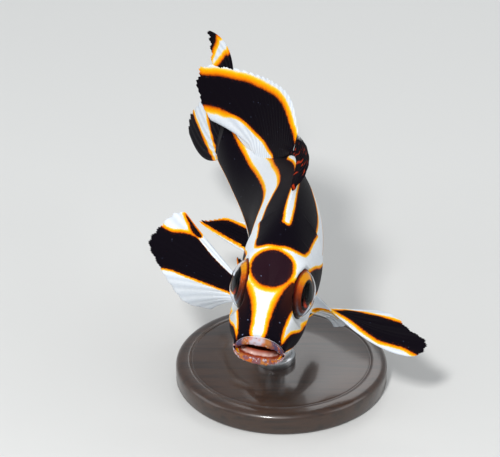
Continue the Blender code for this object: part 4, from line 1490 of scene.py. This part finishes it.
# %% [markdown]
# ## The lips' warts, by Geometry Nodes
# The thick lips are covered with soft warts, whitish on the lower lip's edge, which make its
# outline ragged. Their places on the lips are drawn at random with a fixed seed. One tree puts
# a small round bead, half sunk into the lip, on each of them.
# %% Places of the warts
WARTS = 520
WART_SEED = 41
WART_RADIUS = (0.05, 0.13)
SHARE_BELOW = 0.7
SHARE_WHITE = 0.45
LOWER_ANGLES = (0.98 * math.pi, 2.02 * math.pi)
LOWER_U = (0.05, 1.15)
UPPER_U = (0.1, 0.7)
UPPER_SIZE = 0.7
WART_WHITE = srgb(226, 206, 206)
WART_PINK = srgb(206, 138, 110)


def wart_points():
    """Points on the lips, each with its size, its outward direction and its tint."""
    random = np.random.default_rng(WART_SEED)
    below = random.random(WARTS) < SHARE_BELOW
    lower_angle = random.uniform(*LOWER_ANGLES, WARTS)
    angle = np.where(below, lower_angle, random.uniform(0, math.pi, WARTS))
    u = np.where(below, random.uniform(*LOWER_U, WARTS), random.uniform(*UPPER_U, WARTS))
    normal = outward_normal(u, angle)
    size = random.uniform(*WART_RADIUS, WARTS) * np.where(below, 1.0, UPPER_SIZE)
    tint = np.where(random.random(WARTS)[:, None] < SHARE_WHITE, WART_WHITE, WART_PINK)
    made = new_mesh("lip_wart_places", spine(skin(u, angle)), [], None, {"size": size}, {"tint": tint})
    out = made.data.attributes.new("out", "FLOAT_VECTOR", "POINT")
    out.data.foreach_set("vector", normal.ravel())
    return made


print("warts to draw:", WARTS)


# %% Tree that puts beads on points
def bead_tree():
    """A small ball on each point, turned to the point's own outward direction."""
    tree, enter, leave = geometry_tree("beads_on_points", [
        ("Size", "NodeSocketFloat", 1.0), ("Segments", "NodeSocketInt", 8),
        ("Rings", "NodeSocketInt", 6), ("Material", "NodeSocketMaterial", None)])
    link = tree.links.new
    ball = add(tree, "GeometryNodeMeshUVSphere")
    set_inputs(ball, Radius=MM)
    link(enter.outputs["Segments"], ball.inputs["Segments"])
    link(enter.outputs["Rings"], ball.inputs["Rings"])
    size = add(tree, "GeometryNodeInputNamedAttribute", data_type="FLOAT")
    set_inputs(size, Name="size")
    scale = add(tree, "ShaderNodeMath", operation="MULTIPLY")
    link(size.outputs["Attribute"], scale.inputs[0])
    link(enter.outputs["Size"], scale.inputs[1])
    way = add(tree, "GeometryNodeInputNamedAttribute", data_type="FLOAT_VECTOR")
    set_inputs(way, Name="out")
    align = add(tree, "FunctionNodeAlignRotationToVector", axis="Z")
    link(way.outputs["Attribute"], align.inputs["Vector"])
    points = add(tree, "GeometryNodeMeshToPoints")
    link(enter.outputs["Geometry"], points.inputs["Mesh"])
    beads = add(tree, "GeometryNodeInstanceOnPoints")
    link(points.outputs[0], beads.inputs["Points"])
    link(ball.outputs["Mesh"], beads.inputs["Instance"])
    link(align.outputs[0], beads.inputs["Rotation"])
    link(scale.outputs[0], beads.inputs["Scale"])
    finish_tree(tree, enter, leave, beads.outputs[0])
    return tree


def wart_material():
    """Each wart's own tint, clouded with the lips' purple."""
    made, tree, shader = new_material("lip_wart")
    cloud = noise(tree, object_place(tree), 2600.0, 3.0, 0.6)
    colour = mix_colour(tree, cloud, attribute(tree, "tint", "Color"), LIP_PURPLE)
    tree.links.new(colour, shader.inputs["Base Color"])
    set_inputs(shader, Roughness=0.35)
    return made


warts_piece = apply_tree(wart_points(), bead_tree(), "lip_warts", Size=1.0, Segments=8, Rings=6,
                         Material=wart_material())
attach(warts_piece, "root")
print("warts:", count_triangles(warts_piece), "triangles")

# %% [markdown]
# ## Eyes
# A fish's eye is a flat ball with a round lens that looks out through the pupil, under a clear
# cornea. It is turned on a lathe here: the socket's fold, the sloping iris and the dark lens in
# one piece, and the cornea as a thin clear shell above them.
# %% Profiles of the eye
EYE_PROFILE = [(2.55, -0.75), (2.70, -0.4), (2.74, -0.12), (2.71, 0.06), (2.62, 0.18), (2.5, 0.25),
               (2.38, 0.31), (2.2, 0.42), (2.0, 0.54), (1.8, 0.65), (1.66, 0.72), (1.6, 0.72),
               (1.55, 0.70), (1.48, 0.76), (1.2, 0.94), (0.85, 1.08), (0.42, 1.16)]
EYE_TOP = 1.19
EYE_BACK = -0.8
CORNEA_PROFILE = [(2.52, 0.22), (2.46, 0.4), (2.3, 0.6), (2.05, 0.82), (1.7, 1.05), (1.3, 1.24),
                  (0.9, 1.36), (0.45, 1.43)]
CORNEA_TOP = 1.45
CORNEA_THICKNESS = 0.035
EYE_SIDES = 96


def fine_profile(profile, per_side=3):
    """More points on a profile, along a smooth curve through it."""
    table = np.array(profile, float)
    run = np.append(0, np.cumsum(np.linalg.norm(np.diff(table, axis=0), axis=1)))
    at = np.linspace(0, run[-1], (len(table) - 1) * per_side + 1)
    return curves_of(np.column_stack([run, table]), at)


def on_eye(side, local):
    """Bent places of (fore, up, out) rows on one eye."""
    straight = local @ eye_frame() + np.array(EYE_PLACE)
    straight[:, 1] *= side
    return spine(straight)


def lathe(profile, top, base, sides):
    """Points of a turned shape, ring by ring, then its base point and its top point."""
    angle = np.arange(sides) * 2 * math.pi / sides
    r, h = profile[:, 0][:, None], profile[:, 1][:, None]
    rings = np.stack([r * np.cos(angle), r * np.sin(angle), h + 0 * angle], axis=-1)
    return np.vstack([rings.reshape(-1, 3), [[0, 0, base]], [[0, 0, top]]])


print("the eye's profile has", len(fine_profile(EYE_PROFILE)), "points")

# %% Iris and pupil
PUPIL_BLUE = srgb(2, 3, 9)
IRIS_COLOURS = [(0.0, srgb(34, 12, 8)), (0.25, srgb(96, 34, 14)), (0.45, srgb(168, 66, 22)),
                (0.62, srgb(220, 96, 10)), (0.85, srgb(250, 160, 8))]
EYE_RINGS = [(0.0, PUPIL_BLUE), (0.53, srgb(3, 4, 12)), (0.545, srgb(110, 50, 30)),
             (0.58, srgb(255, 255, 255)), (0.76, srgb(255, 255, 255)), (0.83, srgb(150, 80, 40)),
             (0.89, srgb(48, 20, 12))]
RINGS_REACH = 3.0
STREAKS_ROUND = 9.0
STREAKS_OUT = 1.2
STREAK_SCALE = 1.6
WARM_UP = 0.6
WARM_FORE = -0.75
WARM_STREAKS = 0.8
WARM_RANGE = (-2.7, 2.5)
# Painted reflections: a red arc in the pupil and a grey arc at the cornea's edge
PUPIL_REFLECTION_RED = srgb(214, 62, 14)
LIMB_REFLECTION_GREY = srgb(96, 112, 122)
# Middle and width of an arc's radius, then of its direction in radians
PUPIL_REFLECTION_ARC = ((1.22, 0.12), (-0.8, 0.5))
LIMB_REFLECTION_ARC = ((2.12, 0.1), (-1.1, 0.8))


def hump_nodes(tree, value, middle, width):
    """Bell of height 1 round a middle, from a value in a shader."""
    away = math_node(tree, "DIVIDE", math_node(tree, "SUBTRACT", value, middle), width)
    square = math_node(tree, "MULTIPLY", away, away)
    return math_node(tree, "POWER", math.e, math_node(tree, "MULTIPLY", square, -1.0))


def arc_nodes(tree, radius, turned, ring, direction):
    """Mask of an arc: ring and direction are each a middle and a width."""
    return math_node(tree, "MULTIPLY", hump_nodes(tree, radius, *ring), hump_nodes(tree, turned, *direction))


def eye_material():
    """Pupil, rings round it, an iris warmer above and behind, and two arcs of painted reflection: red in the
    pupil, grey at the limb.
    """
    made, tree, shader = new_material("iris_and_pupil")
    uv = add(tree, "ShaderNodeTexCoord").outputs["UV"]
    split = add(tree, "ShaderNodeSeparateXYZ")
    tree.links.new(uv, split.inputs[0])
    fore, up = split.outputs[0], split.outputs[1]
    square = math_node(tree, "ADD", math_node(tree, "MULTIPLY", fore, fore),
                       math_node(tree, "MULTIPLY", up, up))
    radius = math_node(tree, "SQRT", square)
    turned = math_node(tree, "ARCTAN2", up, fore)
    join = add(tree, "ShaderNodeCombineXYZ")
    tree.links.new(math_node(tree, "MULTIPLY", turned, STREAKS_ROUND), join.inputs[0])
    tree.links.new(math_node(tree, "MULTIPLY", radius, STREAKS_OUT), join.inputs[1])
    streaks = noise(tree, join.outputs[0], STREAK_SCALE, 4.0, 0.65)
    lean = math_node(tree, "ADD", math_node(tree, "MULTIPLY", up, WARM_UP),
                     math_node(tree, "MULTIPLY", fore, WARM_FORE))
    warm = math_node(tree, "ADD", lean, math_node(tree, "MULTIPLY", streaks, WARM_STREAKS))
    iris = ramp(tree, smooth_range(tree, warm, *WARM_RANGE), IRIS_COLOURS)
    rings = ramp(tree, math_node(tree, "DIVIDE", radius, RINGS_REACH), EYE_RINGS)
    # Painted reflections: a red arc in the pupil, a grey one at the limb
    pupil_reflection = arc_nodes(tree, radius, turned, *PUPIL_REFLECTION_ARC)
    limb_reflection = arc_nodes(tree, radius, turned, *LIMB_REFLECTION_ARC)
    ringed = mix_colour(tree, 1.0, iris, rings, "MULTIPLY")
    lit = mix_colour(tree, pupil_reflection, ringed, PUPIL_REFLECTION_RED)
    tree.links.new(mix_colour(tree, limb_reflection, lit, LIMB_REFLECTION_GREY), shader.inputs["Base Color"])
    set_inputs(shader, Roughness=0.35, Specular_IOR_Level=0.05)
    return made


def cornea_material():
    """Clear and hardly bending light, with a faint blue film."""
    made, tree, shader = new_material("clear_cornea")
    film = noise(tree, object_place(tree), 700.0, 2.0)
    tinted = mix_colour(tree, film, (0.92, 0.96, 1.0), (0.97, 0.98, 1.0))
    tree.links.new(tinted, shader.inputs["Base Color"])
    set_inputs(shader, Roughness=0.0, IOR=1.07, Transmission_Weight=1.0)
    return made


iris_material, clear_material = eye_material(), cornea_material()
print("materials:", iris_material.name, "and", clear_material.name)


# %% Eyeballs and corneas
def cornea_shell():
    """Local points and faces of a thin shell: outer side, inner side and the edge between."""
    outer = fine_profile(CORNEA_PROFILE)
    ring = len(outer) * EYE_SIDES
    outer_points = lathe(outer, CORNEA_TOP, 0.0, EYE_SIDES)
    inner_points = lathe(outer - CORNEA_THICKNESS, CORNEA_TOP - CORNEA_THICKNESS, 0.0, EYE_SIDES)
    points = np.vstack([outer_points[:ring], outer_points[-1:], inner_points[:ring], inner_points[-1:]])
    faces = []
    back = ring + 1
    last = ring - EYE_SIDES
    for i in range(EYE_SIDES):
        j = (i + 1) % EYE_SIDES
        for a in range(0, last, EYE_SIDES):
            b = a + EYE_SIDES
            faces.append((a + i, a + j, b + j, b + i))
            faces.append((back + a + i, back + b + i, back + b + j, back + a + j))
        faces.append((last + i, last + j, ring))
        faces.append((back + last + j, back + last + i, back + ring))
        faces.append((i, back + i, back + j, j))
    return points, faces


def make_eyes():
    """An eyeball with its fold and a cornea for each side."""
    profile = fine_profile(EYE_PROFILE)
    local = lathe(profile, EYE_TOP, EYE_BACK, EYE_SIDES)
    shell, shell_faces = cornea_shell()
    made = []
    for side, tag in ((1, "left"), (-1, "right")):
        points = on_eye(side, local)
        faces = outward(points, tube_faces(len(profile), EYE_SIDES))
        eye = new_mesh(f"eye_{tag}_ball", points, faces, iris_material, uv=local[:, :2])
        points = on_eye(side, shell)
        cornea = new_mesh(f"cornea_{tag}", points, outward(points, shell_faces), clear_material)
        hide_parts(f"eye_{tag}")
        for piece in (eye, cornea):
            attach(piece, "root")
        made += [eye, cornea]
    return made


eye_pieces = make_eyes()
print("eyes:", {e.name: count_triangles(e) for e in eye_pieces})

# %% [markdown]
# ## The stand
# A turned wooden foot and a steel rod, plain and dark so that the fish stays the subject. The
# foot keeps the size of its solid; it is turned here with a rounded shoulder and a fine groove.
# %% Measures of the stand
BASE_RADIUS = 12.0
BASE_HEIGHT = 2.6
FOOT_MIDDLE = 0.4
FOOT_SIDES = 128
ROD_RADIUS = 1.1
ROD_FOOT_RADIUS = 2.3
ROD_S = 21.5
ROD_IN_BELLY = 0.5
ROD_SIDES = 64
# Rows of (how far in from the rim, how far below the top) for the foot
FOOT_ROWS = [(0.4, 2.6), (0.15, 2.52), (0.0, 2.3), (0.0, 0.7), (0.05, 0.5), (0.2, 0.3), (0.45, 0.15),
             (0.8, 0.05), (1.3, 0.02), (1.7, 0.0), (1.78, 0.04), (1.88, 0.1), (1.98, 0.04),
             (2.06, 0.0), (6.0, 0.0)]
# Rows of (radius, height above the foot) for the rod's lower end
ROD_ROWS = [(0.3, -0.2), (2.25, -0.2), (ROD_FOOT_RADIUS, 0.1), (ROD_FOOT_RADIUS, 0.75), (2.2, 0.95),
            (2.0, 1.1), (1.5, 1.22), (1.2, 1.4), (ROD_RADIUS, 1.7), (ROD_RADIUS, 3.0)]
rod_top = spine(np.array([ROD_S, 0.0, float(curve(BELLY, ROD_S)) + ROD_IN_BELLY]))
print("the rod ends at x", round(rod_top[0], 1), "y", round(rod_top[1], 1), "z", round(rod_top[2], 1))

# %% Wood and steel
WOOD_COLOURS = [(0.3, srgb(26, 17, 12)), (0.55, srgb(56, 36, 24)), (0.75, srgb(38, 24, 17))]
WOOD_STRETCH = (1.0, 14.0, 14.0)
GRAIN_SCALE = 90.0
PORE_SCALE = 420.0
STEEL_GREY = srgb(188, 190, 192)
STEEL_STRETCH = (1.0, 1.0, 30.0)
LINE_SCALE = 500.0


def stretched_place(tree, scale):
    """Places on the object, with a pattern pressed together along some axes."""
    mapping = add(tree, "ShaderNodeMapping")
    set_inputs(mapping, Scale=scale)
    tree.links.new(object_place(tree), mapping.inputs["Vector"])
    return mapping.outputs[0]


def wood_material():
    """Dark lacquered wood, its grain running along x."""
    made, tree, shader = new_material("lacquered_wood")
    place = stretched_place(tree, WOOD_STRETCH)
    grain = noise(tree, place, GRAIN_SCALE, 6.0, 0.6)
    pores = noise(tree, place, PORE_SCALE, 3.0, 0.7)
    tree.links.new(ramp(tree, grain, WOOD_COLOURS), shader.inputs["Base Color"])
    tree.links.new(bump_map(tree, pores, 0.25, 0.05), shader.inputs["Normal"])
    set_inputs(shader, Roughness=0.38, Coat_Weight=0.5, Coat_Roughness=0.12)
    return made


def steel_material():
    """Steel with fine lines round the rod."""
    made, tree, shader = new_material("brushed_steel")
    lines = noise(tree, stretched_place(tree, STEEL_STRETCH), LINE_SCALE, 3.0)
    dull = math_node(tree, "ADD", math_node(tree, "MULTIPLY", lines, 0.2), 0.2)
    tree.links.new(dull, shader.inputs["Roughness"])
    set_inputs(shader, Base_Color=(*STEEL_GREY, 1), Metallic=1.0)
    return made


wood, steel = wood_material(), steel_material()
print("materials:", wood.name, "and", steel.name)


# %% Foot and rod
def turned_piece(name, centre, profile, material, sides):
    """Turned object from (radius, z) rows round a vertical line, closed at both ends."""
    table = np.array(profile)
    points = lathe(table, table[-1, 1], table[0, 1], sides) + [centre[0], centre[1], 0]
    return new_mesh(name, points, outward(points, tube_faces(len(table), sides)), material)


def make_stand():
    """Foot and rod, each in place of its solid."""
    foot = [(BASE_RADIUS - inset, BASE_HEIGHT - depth) for inset, depth in FOOT_ROWS]
    foot = [(FOOT_MIDDLE, 0.0)] + foot + [(FOOT_MIDDLE, BASE_HEIGHT)]
    base = turned_piece("foot_of_stand", (0, 0), foot, wood, FOOT_SIDES)
    rod_profile = [(radius, BASE_HEIGHT + height) for radius, height in ROD_ROWS]
    rod_profile += [(ROD_RADIUS, rod_top[2] - 1), (ROD_RADIUS, rod_top[2])]
    rod = turned_piece("rod_of_stand", rod_top, rod_profile, steel, ROD_SIDES)
    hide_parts("stand_base")
    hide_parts("stand_rod")
    for piece in (base, rod):
        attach(piece, "root")
    return base, rod


stand_pieces = make_stand()
print("stand:", {p.name: count_triangles(p) for p in stand_pieces})

# %% [markdown]
# ## Light and floor
# Soft light from all round, with a small strong lamp in front above the camera for the glint in
# the eyes and three large weak ones at the sides and behind, over a plain pale floor.
# %% Floor
FLOOR_HALF = 1500
FLOOR_GREY = srgb(206, 206, 204)


def make_floor():
    made, _, shader = new_material("pale_floor")
    set_inputs(shader, Base_Color=(*FLOOR_GREY, 1), Roughness=0.8)
    corners = [(x * FLOOR_HALF, y * FLOOR_HALF, 0) for x, y in ((-1, -1), (1, -1), (1, 1), (-1, 1))]
    floor = new_mesh("floor", corners, [(0, 1, 2, 3)], made)


make_floor()
print("the floor is", 2 * FLOOR_HALF / 1000, "m wide")

# %% Lamps and sky
# Name, place, size and power of each lamp
LAMPS = [("key", (-70, -230, 260), 45, 0.95), ("left_fill", (-280, -20, 140), 200, 0.22),
         ("right_fill", (280, -60, 160), 200, 0.26), ("back", (60, 260, 260), 200, 0.3)]
LAMP_AIM = (0, 5, 18)
SKY_COLOUR = (0.9, 0.95, 1.0, 1)
SKY_STRENGTH = 0.45


def add_lamp(name, place, size, power):
    """Square lamp that looks at the fish."""
    lamp = bpy.data.lights.new(name, "AREA")
    lamp.size = size * MM
    lamp.energy = power
    made = bpy.data.objects.new(name, lamp)
    made.location = Vector(place) * MM
    aim = Vector(LAMP_AIM) - Vector(place)
    made.rotation_euler = aim.to_track_quat("-Z", "Y").to_euler()
    bpy.context.scene.collection.objects.link(made)


def make_sky():
    world = bpy.data.worlds.new("soft_sky")
    world.use_nodes = True
    set_inputs(world.node_tree.nodes["Background"], Color=SKY_COLOUR, Strength=SKY_STRENGTH)
    bpy.context.scene.world = world


for lamp_row in LAMPS:
    add_lamp(*lamp_row)
make_sky()
bpy.context.scene.view_settings.view_transform = "Standard"
print("lamps:", len(LAMPS), "with", round(sum(row[3] for row in LAMPS), 2), "W in all")
